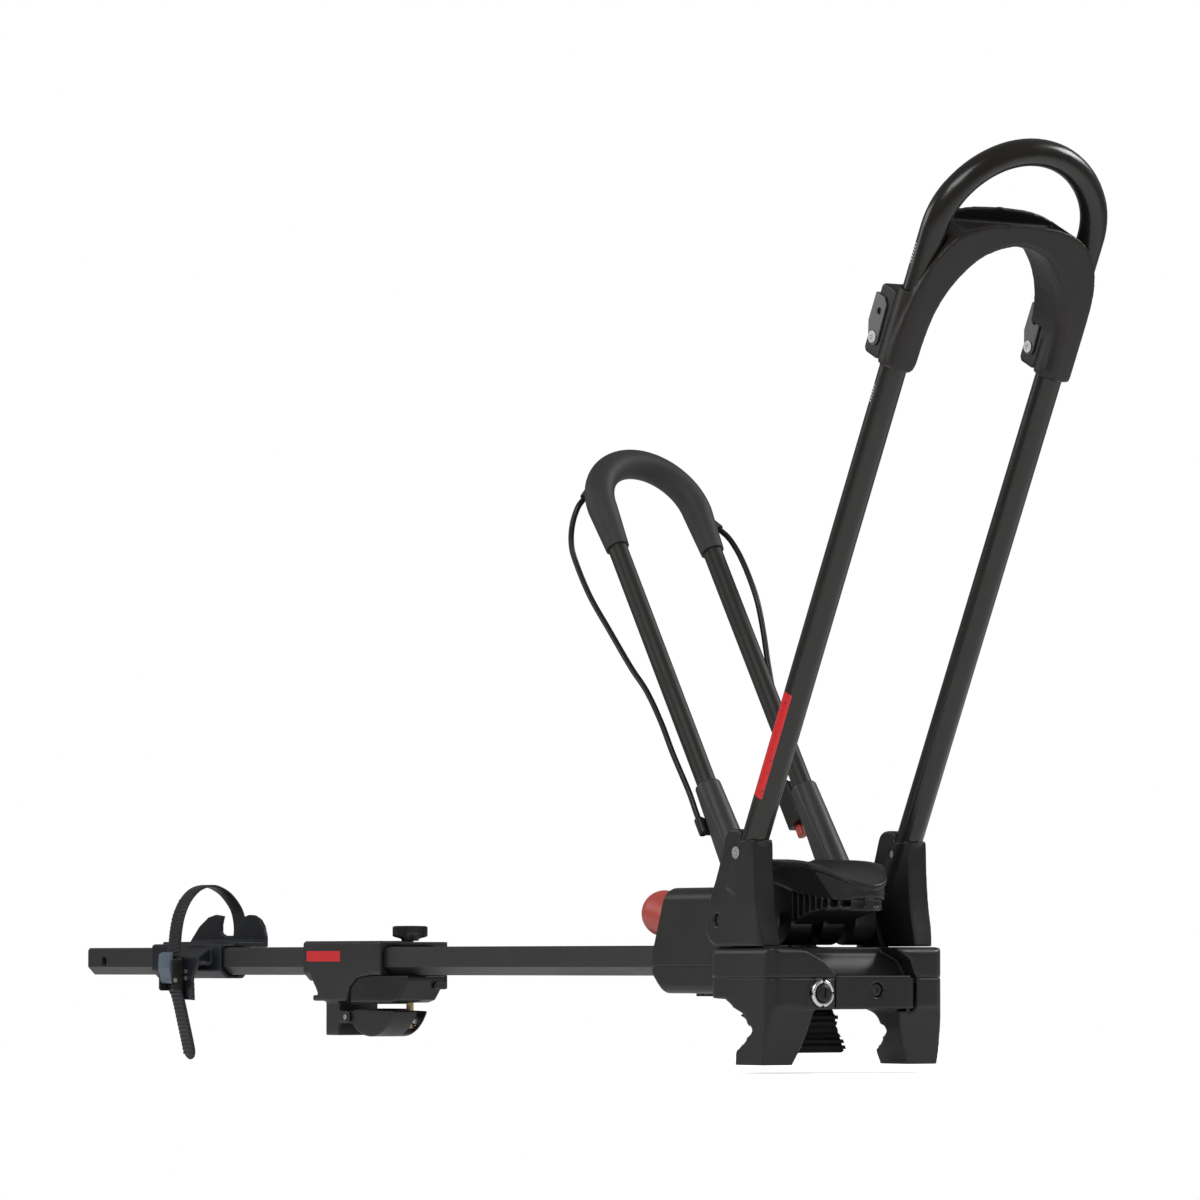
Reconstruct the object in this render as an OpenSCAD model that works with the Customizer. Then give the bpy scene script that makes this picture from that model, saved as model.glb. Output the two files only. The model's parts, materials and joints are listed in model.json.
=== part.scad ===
// Roof mounted bike carrier. Millimetres. The origin is on the axis of the front crossbar, in the middle
// of the base. +X points to the front of the car, +Z up, and the right-hand side of the carrier is -Y.

/* [Front crossbar clamp] */
// Radius of the round crossbar
bar_r = 14.3; // [12:0.1:16]
// Thickness of the rubber pads against the crossbar
pad_t = 2; // [1:0.1:3]
// Width of the base over its two claws
base_w = 216; // [208:1:236]
// Width of a claw at its foot
claw_w = 37; // [30:1:44]
// Depth of the claws below the crossbar's axis
claw_drop = 34; // [28:1:40]
// Front of the base, from the crossbar's axis
base_front = 55.5; // [52:0.5:62]
// Rear of the base's wide part, behind the crossbar's axis
base_rear = 52.5; // [48:0.5:60]
// Height of the base's underside over the crossbar's axis
floor_z = 21; // [19:0.5:23]
// Height of the seam between the base and its cover
seam_z = 52; // [48:0.5:54]
// Height of the cover's top
cover_z = 83; // [78:0.5:86]
// Wall of the mouldings
wall = 3; // [2:0.25:4]
// Width of the rear jaw's foot
jaw_w = 58; // [44:1:64]
// Place of the rear jaw across the base
jaw_y = 5; // [0:0.5:8]

/* [Rail] */
// Width and height of the square rail
rail_w = 31; // [25:0.5:34]
// Wall of the rail
rail_wall = 2; // [1:0.25:3]
// Width of the rail's lower chamfers
rail_chamfer = 9; // [6:0.5:11]
// Height of the rail's middle over the crossbar's axis
rail_z = 69.5; // [66:0.5:73]
// Rear end of the rail, behind the crossbar's axis
rail_rear = 1428; // [1350:1:1500]
// Front end of the rail, behind the crossbar's axis
rail_front = 192; // [188:1:200]

/* [Tall hoop] */
// Distance of the hoop hinge behind the crossbar's axis
hinge_x = 37.5; // [34:0.5:40]
// Height of the hoop hinge over the crossbar's axis
hinge_z = 110; // [108:0.5:114]
// Radius of the hinge axle
axle_r = 6; // [5:0.25:7]
// Outer radius of the tall hoop's tube
tall_r = 13.5; // [12:0.25:14]
// Wall of the hoops' tubes
tube_wall = 2; // [1:0.25:3]
// Distance between the middles of the tall hoop's legs
tall_w = 191; // [188:1:196]
// Length of the tall hoop's legs above the hinge
tall_l = 747; // [680:1:780]
// Height of the tall hoop's arch
tall_rise = 84.6; // [80:0.2:92]
// Forward lean of the tall hoop
tall_lean = 26.9; // [22:0.1:30]

/* [Short hoop] */
// Outer radius of the short hoop's tube
short_r = 10.2; // [9:0.1:11]
// Distance between the middles of the short hoop's legs
short_w = 120; // [118:0.5:122]
// Length of the short hoop's legs above the hinge
short_l = 504; // [460:1:520]
// Rearward lean of the short hoop
short_lean = 32.8; // [30:0.1:38]
// Radius of the pad over the short hoop's arch
grip_r = 15.5; // [13:0.25:17]
// Radius of the short hoop's leg sleeves
sleeve_r = 13.4; // [12.5:0.1:14]
// Radius of the security cable
cable_r = 3; // [2:0.25:4]

/* [Drive] */
// Radius of the adjusting knob
knob_r = 24; // [20:0.5:27]
// Tilt of the worm shaft
worm_tilt = 12; // [11:0.1:13]
// Module of the worm and the sector
gear_module = 2.5; // [2.25:0.05:2.75]
// Whole teeth that the sector would have as a full wheel
gear_teeth = 26; // [25:1:27]
// Pitch radius of the worm
worm_r = 10; // [9:0.25:11]
// Radius of the worm shaft
shaft_r = 5; // [4:0.25:6]

/* [Tyre saddle] */
// Distance of the saddle's lowest point below the upper end of the tall hoop's legs
saddle_drop = 144; // [130:1:200]
// Thickness of the saddle through the hoop's plane
saddle_t = 52; // [44:1:60]

/* [Rear crossbar clamp] */
// Middle of the rear clamp's sleeve, behind the front crossbar's axis
clamp_x = 870; // [820:1:900]
// Length of the rear clamp's sleeve
clamp_l = 158; // [140:1:170]
// Wall of the sleeves on the rail
sleeve_wall = 6.5; // [5:0.25:7]
// Radius of the rear clamp's bolt
bolt_r = 4; // [3:0.25:5]

/* [Wheel tray] */
// Middle of the wheel tray, behind the front crossbar's axis
tray_x = 1204; // [1150:1:1240]
// Length of the tray's sleeve
tray_l = 152; // [130:1:170]
// Width of the ladder strap
strap_w = 25; // [20:0.5:28]
// Thickness of the ladder strap
strap_t = 2.4; // [1.6:0.1:3]

/* [Hidden] */
$fn = 64;

// Clearances and small common sizes
running = 0.05;   // radial clearance of a shaft in its bore
slide_gap = 0.3;  // gap between sliding flat faces
side_gap = 1;     // room for a washer beside a hinged part
overrun = 1;      // how far a cut runs past a face
deep = 400;       // a length that cuts right through the base

// Helper solids
module along_y(y0, y1) translate([0, y1, 0]) rotate([90, 0, 0]) linear_extrude(y1 - y0) children();
module along_x(x0, x1) translate([x0, 0, 0]) rotate([90, 0, 90]) linear_extrude(x1 - x0) children();
module rod_y(r, y0, y1) translate([0, y0, 0]) rotate([-90, 0, 0]) cylinder(r = r, h = y1 - y0);
module rod_x(r, x0, x1) translate([x0, 0, 0]) rotate([0, 90, 0]) cylinder(r = r, h = x1 - x0);
module block(x0, x1, y0, y1, z0, z1) translate([x0, y0, z0]) cube([x1 - x0, y1 - y0, z1 - z0]);
module both_sides() {
  children();
  mirror([0, 1, 0]) children();
}
module round_rect(x0, x1, y0, y1, r) {
  translate([x0 + r, y0]) square([x1 - x0 - 2 * r, y1 - y0]);
  translate([x0, y0 + r]) square([x1 - x0, y1 - y0 - 2 * r]);
  for (x = [x0 + r, x1 - r], y = [y0 + r, y1 - r]) translate([x, y]) circle(r);
}
module at_hinge() translate([-hinge_x, 0, hinge_z]) children();

// Frames whose Z runs up the legs of a hoop and whose X points forward out of the hoop's plane
tall_offset = 7.85;
short_offset = 4.9;
module tall_frame() at_hinge() rotate([0, tall_lean, 0]) translate([tall_offset, 0, 0]) children();
module short_frame() at_hinge() rotate([0, -short_lean, 0]) translate([short_offset, 0, 0]) children();

// Rail
module rail_outline(grow = 0) {
  h = rail_w / 2 + grow;
  c = rail_chamfer;
  top_c = rail_w * 0.08;
  polygon([[-h + c, -h], [h - c, -h], [h, -h + c], [h, h - top_c], [h - top_c, h], [-h + top_c, h],
           [-h, h - top_c], [-h, -h + c]]);
}
module on_rail(x0, x1, grow = 0) translate([0, 0, rail_z]) along_x(x0, x1) rail_outline(grow);
cap_hole_r = 5.5;
cap_hole_in = 34;
cap_hole_x = rail_rear - cap_hole_in;
module rail() color([0.1, 0.1, 0.11]) difference() {
  on_rail(-rail_rear, -rail_front);
  on_rail(-rail_rear - overrun, -rail_front + overrun, -rail_wall);
  translate([-cap_hole_x, 0, rail_z]) rod_y(cap_hole_r, -rail_w, rail_w);
  for (x = rail_bolt_xs) translate([x, 0, 0]) cylinder(r = rail_bolt_r, h = deep);
  knob_room();
}

// Plug in the rear end of the rail, with a flange that closes it and a bore in line with the rail's
// cross hole
cap_flange = 3.5;
cap_l = 52;
module rail_end_cap() color([0.13, 0.13, 0.14]) difference() {
  union() {
    on_rail(-rail_rear, -rail_rear + cap_l, -rail_wall);
    intersection() {
      on_rail(-rail_rear - cap_flange, -rail_rear);
      translate([-rail_rear, 0, rail_z])
        rod_y(rail_w * 0.62, -rail_w, rail_w);
    }
  }
  translate([-cap_hole_x, 0, rail_z]) rod_y(cap_hole_r, -rail_w, rail_w);
}

// Bolts that hold the rail in the base, from below
rail_bolt_r = 3;
rail_bolt_in = 8;
rail_bolt_pitch = 14;
rail_bolt_xs = [-rail_front - rail_bolt_in - rail_bolt_pitch, -rail_front - rail_bolt_in];
drive_floor = 36;
module rail_bolts() color([0.75, 0.75, 0.77]) for (x = rail_bolt_xs) translate([x, 0, 0]) {
  translate([0, 0, drive_floor]) cylinder(r = rail_bolt_r,
      h = rail_z + rail_w / 2 + rail_bolt_r - drive_floor);
  translate([0, 0, drive_floor - rail_bolt_r]) cylinder(r = 2 * rail_bolt_r, h = rail_bolt_r);
  translate([0, 0, rail_z + rail_w / 2]) cylinder(r = 1.8 * rail_bolt_r, h = rail_bolt_r, $fn = 6);
}

// Base: side profile of a claw, with stepped notches round the crossbar. Shares of the crossbar's radius.
notch_shares = [[-0.55, 1.54], [0.42, 1.2], [0.9, 0.86], [1.02, 0.44], [1.45, 0.3], [1.62, 0], [1.45, -0.22],
                [0.94, -0.5], [0.86, -0.72], [0.42, -1.0], [-0.28, -1.4]];
claw_front = 41;
skirt_z = 38;
module claw_outline() polygon(concat(
  [[-base_rear, seam_z], [-base_rear, skirt_z], [-base_rear + wall * 2.3, skirt_z - wall * 2],
   [-base_rear * 0.44, floor_z + wall * 3.3], [-base_rear * 0.29, floor_z + wall * 2]],
  bar_r * notch_shares,
  [[-bar_r * 0.4, -claw_drop], [claw_front, -claw_drop], [base_front - wall, floor_z],
   [base_front, floor_z + wall], [base_front, seam_z]]));
// Front view of a claw, narrow at the foot
claw_in = base_w / 2 - claw_w;
module claw_front_outline() polygon([[-base_w / 2, -claw_drop], [-claw_in, -claw_drop],
  [-claw_in + claw_w * 0.24, -claw_drop * 0.44], [-claw_in + claw_w * 0.4, claw_drop * 0.1],
  [-claw_in + claw_w * 0.5, floor_z], [-claw_in + claw_w * 0.5, seam_z], [-base_w / 2, seam_z]]);
plan_r = 13;
module base_plan(grow = 0) round_rect(-base_rear - grow, base_front + grow, -base_w / 2 - grow,
    base_w / 2 + grow,
                                      plan_r + grow);
module base_prism(z0, z1, grow = 0) translate([0, 0, z0]) linear_extrude(z1 - z0) base_plan(grow);

// The drive housing behind the base
drive_half = 35;
drive_rear = 253.5;
drive_seam = 63;
drive_top = 144;
drive_lean = 24;
drive_round = 14;
drive_low_round = 8;

// Hollow of the base: the room in which the clamp's push rod, jaw and lever cam work
front_t = 11.5;
room_front = base_front - front_t;
room_left = 72;
room_right = -30;
lever_end_r = 6;
lever_pin_x = base_front - lever_end_r;
lever_pin_y = 64.5;
lock_y = -46.5;
lock_z = 37;
boss_r = 15;
hub_r = 12;
gear_half = 3.5;
module base_body() color([0.16, 0.16, 0.17]) difference() {
  union() {
    intersection() {
      union() {
        both_sides() intersection() {
          along_y(-base_w / 2, -claw_in + claw_w * 0.5) claw_outline();
          along_x(-deep, deep) claw_front_outline();
        }
        block(-base_rear, base_front, -claw_in, claw_in, floor_z, seam_z);
      }
      base_prism(-claw_drop, seam_z);
    }
    // Lower half of the drive housing
    intersection() {
      along_y(-drive_half, drive_half) polygon([[-base_rear, drive_floor], [-base_rear, drive_seam],
        [-drive_rear, drive_seam], [-drive_rear, drive_floor + (drive_seam - drive_floor) * 0.7],
        [-drive_rear + (drive_seam - drive_floor) * 0.7, drive_floor]]);
      along_x(-drive_rear, -base_rear) round_rect(-drive_half, drive_half, drive_floor, drive_top,
          drive_low_round);
    }
    // Swelling round the lock
    translate([0, lock_y, lock_z]) rod_x(boss_r, base_front - 4 * wall, base_front + wall / 2);
  }
  base_room();
  // Seats of the claw pads
  for (y = pad_starts) rod_y(bar_r + pad_t, y, y + pad_l);
  // Front recess for the clamp lever
  block(lever_back - slide_gap, base_front + overrun, lever_right - side_gap, lever_pin_y, floor_z - wall / 2,
        seam_z + overrun);
  translate([lever_pin_x, lever_pin_y, floor_z - wall / 2]) cylinder(r = lever_end_r + side_gap, h = deep);
  intersection() {
    translate([lever_pin_x, lever_pin_y, cam_z - cam_h / 2 - side_gap]) cylinder(r = cam_top + side_gap,
                                                                                 h = cam_h + 2 * side_gap);
    block(0, lever_pin_x + wall, 0, base_w, 0, deep);
  }
  // Notch that lets the lever's end swing out
  block(lever_pin_x, base_front + overrun, lever_pin_y - overrun, lever_pin_y + lever_end_r + side_gap * 2,
        floor_z - wall / 2, seam_z + overrun);
  translate([lever_pin_x, lever_pin_y, lever_pin_z0]) cylinder(r = lever_pin_r, h = deep);
  lock_room();
  // Seats of the rail, its bolts, the push rod, the jaw's pin and the lock
  on_rail(-rail_rear, -rail_front);
  for (x = rail_bolt_xs) translate([x, 0, 0]) cylinder(r = rail_bolt_r, h = deep);
  for (x = rail_bolt_xs) translate([x, 0, drive_floor - rail_bolt_r])
    cylinder(r = 2 * rail_bolt_r, h = rail_bolt_r);
  translate([0, lever_pin_y, rod_z]) rod_x(rod_r + running, -base_rear / 2, base_front);
  translate([jaw_pin_x, 0, jaw_pin_z]) rod_y(jaw_pin_r, jaw_pin_y0, jaw_pin_y1);
  translate([0, lock_y, lock_z]) rod_x(lock_core_r + running, cam_x0 - slide_gap, base_front + boss_r);
  translate([0, lock_y, lock_z]) rod_x(lock_ring_r, cam_x0 + lock_cam_t + slide_gap, base_front + boss_r);
  for (p = screw_places) translate([p[0], p[1], screw_low]) cylinder(r = screw_r, h = deep);
}
// Room of the lock's cam, between straight up and the lever
module lock_room() translate([0, lock_y, lock_z]) intersection() {
  rod_x(cam_reach + side_gap, cam_x0 - slide_gap, cam_x0 + lock_cam_t + slide_gap);
  block(-deep, deep, -lock_core_r, deep, -lock_core_r, deep);
}
// Spaces inside the base: for the jaw, the worm and the sector
module base_room() {
  block(-base_rear + wall, room_front, room_right, claw_in - claw_w * 0.3, floor_z + wall, seam_z + overrun);
  block(-base_rear + wall, -bar_r - pad_t + slide_gap, jaw_y - jaw_w / 2 - side_gap,
      jaw_y + jaw_w / 2 + side_gap,
        -bar_r, seam_z + overrun);
  translate([jaw_pin_x, 0, jaw_pin_z]) rod_y(jaw_pin_r * 1.7 + slide_gap, 0, room_left);
  block(-base_rear + wall, room_front - 5 * wall, room_right, room_left, rod_z - rod_r * 2, seam_z + overrun);
  block(-rail_front, -base_rear + 2 * wall, -drive_half + wall * 1.5, drive_half - wall * 1.5,
      drive_floor + wall,
        drive_seam + overrun);
}

// Cover of the base, with the two ears that carry the hinge axle
ear_t = 8;
ear_y = short_w / 2 + sleeve_r + side_gap;
ear_r = 16;
nose_z = 80;
nose_right = -28;
nose_left = 70;
module nose_outline() {
  // Side view of the rounded nose over the clamp lever
  r = base_front - wall * 2.5;
  intersection() {
    translate([-wall * 3, seam_z - wall * 2.4]) circle(r * 0.98, $fn = 96);
    translate([-base_rear, seam_z]) square([base_rear + base_front, nose_z - seam_z + wall]);
  }
}
module cover_shape(inset) intersection() {
  difference() {
    base_prism(seam_z, cover_z - inset, -inset);
    // Falling inner shoulder of the right housing and the arched opening of the left one
    along_x(room_front - 6 * wall, base_front + overrun) union() {
      polygon([[nose_right - claw_w * 1.7, cover_z], [nose_right - claw_w, cover_z - wall],
        [nose_right - claw_w * 0.4, cover_z - wall * 4.6],
        [nose_right, seam_z + wall * 1.6], [nose_right, seam_z - overrun], [nose_left, seam_z - overrun],
        [nose_left, seam_z + wall * 1.2], [nose_left - wall * 2, cover_z - wall * 4],
        [nose_left - wall * 7, cover_z - wall],
        [nose_left - wall * 7, cover_z + overrun], [nose_right - claw_w * 1.7, cover_z + overrun]]);
    }
  }
  // Softened top edges
  along_y(-base_w / 2, base_w / 2) round_rect(-base_rear + inset, base_front - inset, seam_z - 4 * plan_r,
                                            cover_z - inset, plan_r * 0.6);
  along_x(-base_rear, base_front) round_rect(-base_w / 2 + inset, base_w / 2 - inset, seam_z - 4 * plan_r,
                                             cover_z - inset, plan_r * 0.6);
}
module base_cover() color([0.15, 0.15, 0.16]) difference() {
  union() {
    cover_shape(0);
    along_y(nose_right - claw_w * 0.4, nose_left - slide_gap) nose_outline();
    both_sides() along_y(ear_y, ear_y + ear_t) {
      translate([-hinge_x, hinge_z]) circle(ear_r);
      polygon([[-hinge_x - ear_r * 0.95, hinge_z - ear_r * 0.3], [-base_rear + wall, cover_z - wall],
               [-hinge_x + ear_r * 2, cover_z - wall], [-hinge_x + ear_r * 0.98, hinge_z + ear_r * 0.2]]);
    }
  }
  // Hollow, which leaves the side housings solid over their screws
  intersection() {
    base_prism(seam_z - overrun, cover_z - wall, -wall);
    block(-base_rear, room_front - 7 * wall, nose_right - claw_w * 0.3, nose_left - wall, seam_z - overrun,
          cover_z - wall);
  }
  block(-base_rear - overrun, -base_rear + 2 * wall, -drive_half + wall, drive_half - wall, seam_z - overrun,
        drive_seam + wall * 5);
  // Slot for the sector, and the rooms of the worm and the lock's cam
  at_hinge() rod_y(gear_out + side_gap, -gear_half - side_gap, gear_half + side_gap);
  worm_room();
  lock_room();
  // Room of the open lever's end
  block(lever_pin_x - side_gap * 2, base_front + overrun, nose_left - overrun,
        lever_pin_y + lever_end_r + side_gap * 2, seam_z - overrun, lever_z1 + slide_gap);
  at_hinge() rod_y(axle_r, -base_w, base_w);
  for (p = screw_places) translate([p[0], p[1], seam_z - overrun])
    cylinder(r = screw_r, h = screw_up - seam_z + overrun);
}

// Studs that hold the cover on the base
screw_r = 2.5;
screw_low = seam_z - 4 * wall;
screw_up = seam_z + 5 * wall;
screw_places = [for (x = [-base_rear + 5 * wall, base_front - 5 * wall], side = [-1, 1])
  [x, side * (base_w / 2 - 5 * wall)]];
module base_screws() color([0.72, 0.72, 0.74]) for (p = screw_places) translate([p[0], p[1], 0]) {
  translate([0, 0, screw_low]) cylinder(r = screw_r, h = screw_up - screw_low);
}

// Upper cover of the drive, round the rail's end, the worm shaft and the front of the knob
module drive_cover() color([0.16, 0.16, 0.17]) difference() {
  drive_cover_shape(0);
  intersection() {
    drive_cover_shape(wall);
    block(-rail_front - wall, deep, -deep, deep, 0, deep);
  }
  block(-base_rear - wall * 2, -base_rear + overrun, -drive_half + wall, drive_half - wall, 0,
      cover_z - wall);
  on_rail(-rail_rear, -rail_front);
  worm_room();
  at_hinge() rod_y(gear_out + side_gap, -gear_half - side_gap, gear_half + side_gap);
  for (x = rail_bolt_xs) translate([x, 0, rail_z])
    cylinder(r = 2 * rail_bolt_r, h = rail_w / 2 + 2 * rail_bolt_r);
  worm_frame() rod_x(shaft_r + side_gap, -deep, deep);
  knob_room();
}
module knob_room() worm_frame() rod_x(knob_r + side_gap, -deep, -knob_front + side_gap);
module drive_cover_shape(inset) intersection() {
  low = drive_seam - (inset > 0 ? overrun : 0);
  along_x(-drive_rear, overrun)
    round_rect(-drive_half + inset, drive_half - inset, drive_floor - drive_round, drive_top - inset,
               drive_round - inset);
  along_y(-drive_half + inset, drive_half - inset) polygon([[-drive_rear + inset, low],
    [-drive_rear + inset, drive_seam + wall * 5], [-drive_rear + drive_lean + inset, drive_top - inset],
    [-drive_rear + drive_lean * 4, drive_top - inset], [-base_rear - drive_lean, cover_z + wall - inset],
    [-base_rear, cover_z - inset], [-base_rear, low]]);
}

// Rubber pads in the claws, on either side of the notch's point
module pad_ring(a0, a1, y0, y1) {
  // Part of a ring between two angles, measured from +X towards +Z
  rotate([90, 0, 0]) translate([0, 0, -y1]) rotate([0, 0, a0])
    rotate_extrude(angle = a1 - a0) translate([bar_r, 0]) square([pad_t, y1 - y0]);
}
pad_l = claw_w - 2 * wall;
pad_starts = [-base_w / 2 + wall, claw_in + wall];
// Angles at which the pads start and end, from +X towards +Z
lower_pad = [-82, -22];
upper_pad = [20, 86];
module claw_pads() color([0.07, 0.07, 0.07]) for (y = pad_starts, pad = [lower_pad, upper_pad])
  pad_ring(pad[0], pad[1], y, y + pad_l);

// Hinge axle of both hoops, and its washers
bracket_in = ear_y + ear_t + side_gap;
bracket_t = 24;
bracket_out = bracket_in + bracket_t;
axle_half = bracket_out - wall;
module hinge_axle() color([0.7, 0.7, 0.72]) at_hinge() rod_y(axle_r, -axle_half, axle_half);
module axle_washers() color([0.85, 0.85, 0.82]) at_hinge() both_sides()
  for (y = [ear_y - side_gap, ear_y + ear_t]) translate([0, y, 0]) difference() {
    rod_y(axle_r * 1.7, slide_gap / 3, side_gap - slide_gap / 3);
    rod_y(axle_r + running, -overrun, side_gap + overrun);
  }

// Worm drive: its frame has X along the shaft, forward and down, and lies under the hinge
gear_r = gear_module * gear_teeth / 2;
gear_out = gear_r + gear_module;
gear_root = gear_r - 1.25 * gear_module;
lead = PI * gear_module;
module worm_frame() at_hinge() rotate([0, worm_tilt, 0]) translate([0, 0, -gear_r - worm_r]) children();
module worm_room() worm_frame() rod_x(worm_tip + side_gap, -worm_l / 2 - side_gap, worm_l / 2 + side_gap);
knob_back = 239.5;
knob_front = 181;
bulk_rear = 141;
bulk_front = 26;
bulk_t = 8;
module worm_bearings() color([0.6, 0.55, 0.4]) difference() {
  union() {
    x_rear = -hinge_x - bulk_rear;
    block(x_rear - bulk_t, x_rear, -drive_half + 2 * wall, drive_half - 2 * wall, drive_floor + wall,
          hinge_z + wall);
    block(-hinge_x + bulk_front - bulk_t, -hinge_x + bulk_front, -hub_r * 1.4, hub_r * 1.4, floor_z + wall,
          cover_z - 2 * wall);
  }
  worm_frame() rod_x(shaft_r + running, -deep, deep);
}
module worm_shaft() color([0.7, 0.7, 0.72]) worm_frame() difference() {
  rod_x(shaft_r, -knob_back, bulk_front + bulk_t);
  rod_y(shaft_r * 0.3, -shaft_r * 2, shaft_r * 2);
}
// Single thread with straight flanks. Heights above and below the pitch line follow the module.
flank = tan(20);
thread_half = lead / 4 - gear_module * 0.26;
worm_l = 4 * lead;
function thread_u(r) = max(thread_half - (r - worm_r) * flank, 0);
function thread_angle(r) = thread_u(r) / lead * 360;
worm_tip = worm_r + gear_module * 0.9;
worm_root = worm_r - gear_module * 1.1;
flank_steps = 2;
function thread_side() = [for (i = [0:flank_steps]) let (r = worm_tip
    + (worm_root - worm_tip) * i / flank_steps)
  [thread_angle(r), r]];
function thread_outline() = let (s = thread_side(), n = flank_steps, a = s[n][0]) concat(
  s,
  [for (i = [1:4]) [a + (360 - 2 * a) * i / 5, worm_root]],
  [for (i = [n:-1:0]) [360 - s[i][0], s[i][1]]]);
module worm() color([0.72, 0.66, 0.45]) worm_frame() difference() {
  translate([-worm_l / 2, 0, 0]) rotate([0, 90, 0]) rotate([0, 0, worm_phase])
    linear_extrude(worm_l, twist = -worm_l / lead * 360, slices = 64, segments = 1)
      polygon([for (p = thread_outline()) p[1] * [cos(p[0]), sin(p[0])]]);
  rod_x(shaft_r, -worm_l, worm_l);
}
worm_phase = 0;

// Toothed sector of the short hoop
tooth_half = lead / 4 - gear_module * 0.36;
function tooth_points(a) = [for (q = [[gear_root, 1.3], [gear_r, 0], [gear_out - gear_module * 0.25, -0.75]])
  let (h = tooth_half + q[1] * gear_module * flank) [q[0], h]];
module tooth(a) rotate(a) polygon([for (p = tooth_points(a)) [p[0], p[1]],
  [tooth_points(a)[2][0], -tooth_points(a)[2][1]],
  [tooth_points(a)[1][0], -tooth_points(a)[1][1]], [tooth_points(a)[0][0], -tooth_points(a)[0][1]]]);
sector_steps = [-5:1:3];
gear_pitch = 360 / gear_teeth;
tab_half = 17;
module tab_outline() translate([-tab_half, 0]) square([2 * tab_half, cradle_seat + wall]);
module sector_gear() color([0.6, 0.6, 0.62]) at_hinge() difference() {
  union() {
    along_y(-gear_half, gear_half) {
      for (i = sector_steps) tooth(-90 + worm_tilt * -1 + i * gear_pitch);
      intersection() {
        circle(gear_root + gear_module * 0.2);
        rotate(-90 - worm_tilt) polygon([[0, -hub_r * 0.7], [gear_out * 0.3, -gear_out * 1.6],
          [gear_out * 2, 0], [gear_out * 1.2, gear_out * 1.35], [0, hub_r * 0.7], [-hub_r * 0.7, 0]]);
      }
      tab_outline();
    }
    rod_y(hub_r, -hub_r - wall, hub_r + wall);
  }
  rod_y(axle_r + running, -base_w, base_w);
}

// Red adjusting knob
module adjusting_knob() color([0.7, 0.27, 0.24]) worm_frame() difference() {
  union() {
    translate([-knob_back, 0, 0]) sphere(knob_r, $fn = 96);
    rod_x(knob_r, -knob_back, -knob_front - knob_r * 0.2);
    translate([-knob_front - knob_r * 0.2, 0, 0]) rotate([0, 90, 0]) cylinder(r1 = knob_r, r2 = knob_r * 0.8,
                                                                              h = knob_r * 0.2);
  }
  rod_x(shaft_r, -knob_back, 0);
}

// Tall hoop: a bent tube whose arch has three arcs
shoulder_r = tall_rise * 0.85;
tall_half = tall_w / 2;
crown_drop = ((tall_half - shoulder_r) ^ 2 - (tall_rise - shoulder_r) ^ 2) / (2 * (tall_rise - shoulder_r));
crown_r = crown_drop + tall_rise;
shoulder_angle = atan(crown_drop / (tall_half - shoulder_r));
tall_start = 40;
weld_angle = 1;
weld_step = 0.1;
module tall_hoop_solid(r, extra = 0) {
  both_sides() {
    translate([0, tall_half, tall_start - extra]) cylinder(r = r, h = tall_l - tall_start + extra);
    translate([0, tall_half - shoulder_r, tall_l]) rotate([90, 0, 90])
      rotate_extrude(angle = shoulder_angle) translate([shoulder_r, 0]) circle(r);
  }
  translate([0, 0, tall_l - crown_drop]) rotate([90, 0, 90]) rotate([0, 0, shoulder_angle - weld_angle])
    rotate_extrude(angle = 180 - 2 * (shoulder_angle - weld_angle)) translate([crown_r,
        0]) circle(r - weld_step);
}
module tall_hoop_tube() color([0.08, 0.07, 0.065]) tall_frame() difference() {
  tall_hoop_solid(tall_r);
  tall_hoop_solid(tall_r - tube_wall, overrun);
  translate([pin_off, 0, pin_s]) rod_y(pin_r, -base_w, base_w);
}

// Socket brackets of the tall hoop's legs
bracket_reach = cover_z + slide_gap * 2 - hinge_z;
bracket_front = hinge_x + claw_front - wall;
rim_z = 79;
pin_r = 4;
pin_s = 76;
pin_off = -5;
boss_wall = 1.6;
pin_head_y = tall_w / 2 + tall_r + slide_gap;
module bracket_outline() {
  edge = [[-ear_r * 0.2, bracket_reach], [-ear_r * 0.82, bracket_reach * 0.8], [-ear_r * 1.18,
      bracket_reach * 0.42],
    [-ear_r * 1.2, wall * 0.7], [-ear_r * 0.6, ear_r * 1.62], [-ear_r * 0.15, ear_r * 2.5],
    [ear_r * 0.4, ear_r * 3.75], [ear_r * 0.9, rim_z + wall], [ear_r * 1.25, rim_z + wall * 3],
    [ear_r * 1.8, rim_z + wall * 3.7], [ear_r * 2.45, rim_z + wall * 3.1], [ear_r * 3, rim_z + wall * 0.7]];
  front = [[bracket_front - ear_r * 0.8, rim_z], [bracket_front - ear_r * 0.72, rim_z * 0.55],
    [bracket_front - ear_r * 0.5, rim_z * 0.12], [bracket_front, bracket_reach]];
  polygon(concat(smooth_route(edge, 3), smooth_route(front, 3)));
}
module leg_bracket() color([0.16, 0.16, 0.17]) difference() {
  union() {
    intersection() {
      at_hinge() along_y(bracket_in, bracket_out) bracket_outline();
      // Rounded outer corner at the front
      linear_extrude(deep) round_rect(-base_w, bracket_front - hinge_x, 0, bracket_out, wall * 2.5);
    }
    intersection() {
      tall_frame() translate([0, tall_half, tall_start - wall]) cylinder(r = tall_r + boss_wall, h = deep);
      block(-base_w, base_w, 0, base_w, 0, hinge_z + rim_z);
    }
  }
  tall_frame() translate([0, tall_half, tall_start]) cylinder(r = tall_r, h = deep);
  tall_frame() translate([pin_off, 0, pin_s]) {
    rod_y(pin_r, 0, base_w);
    rod_y(pin_r * 1.5, pin_head_y, base_w);
  }
  at_hinge() rod_y(axle_r + running, 0, base_w);
}
module left_leg_bracket() leg_bracket();
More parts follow.
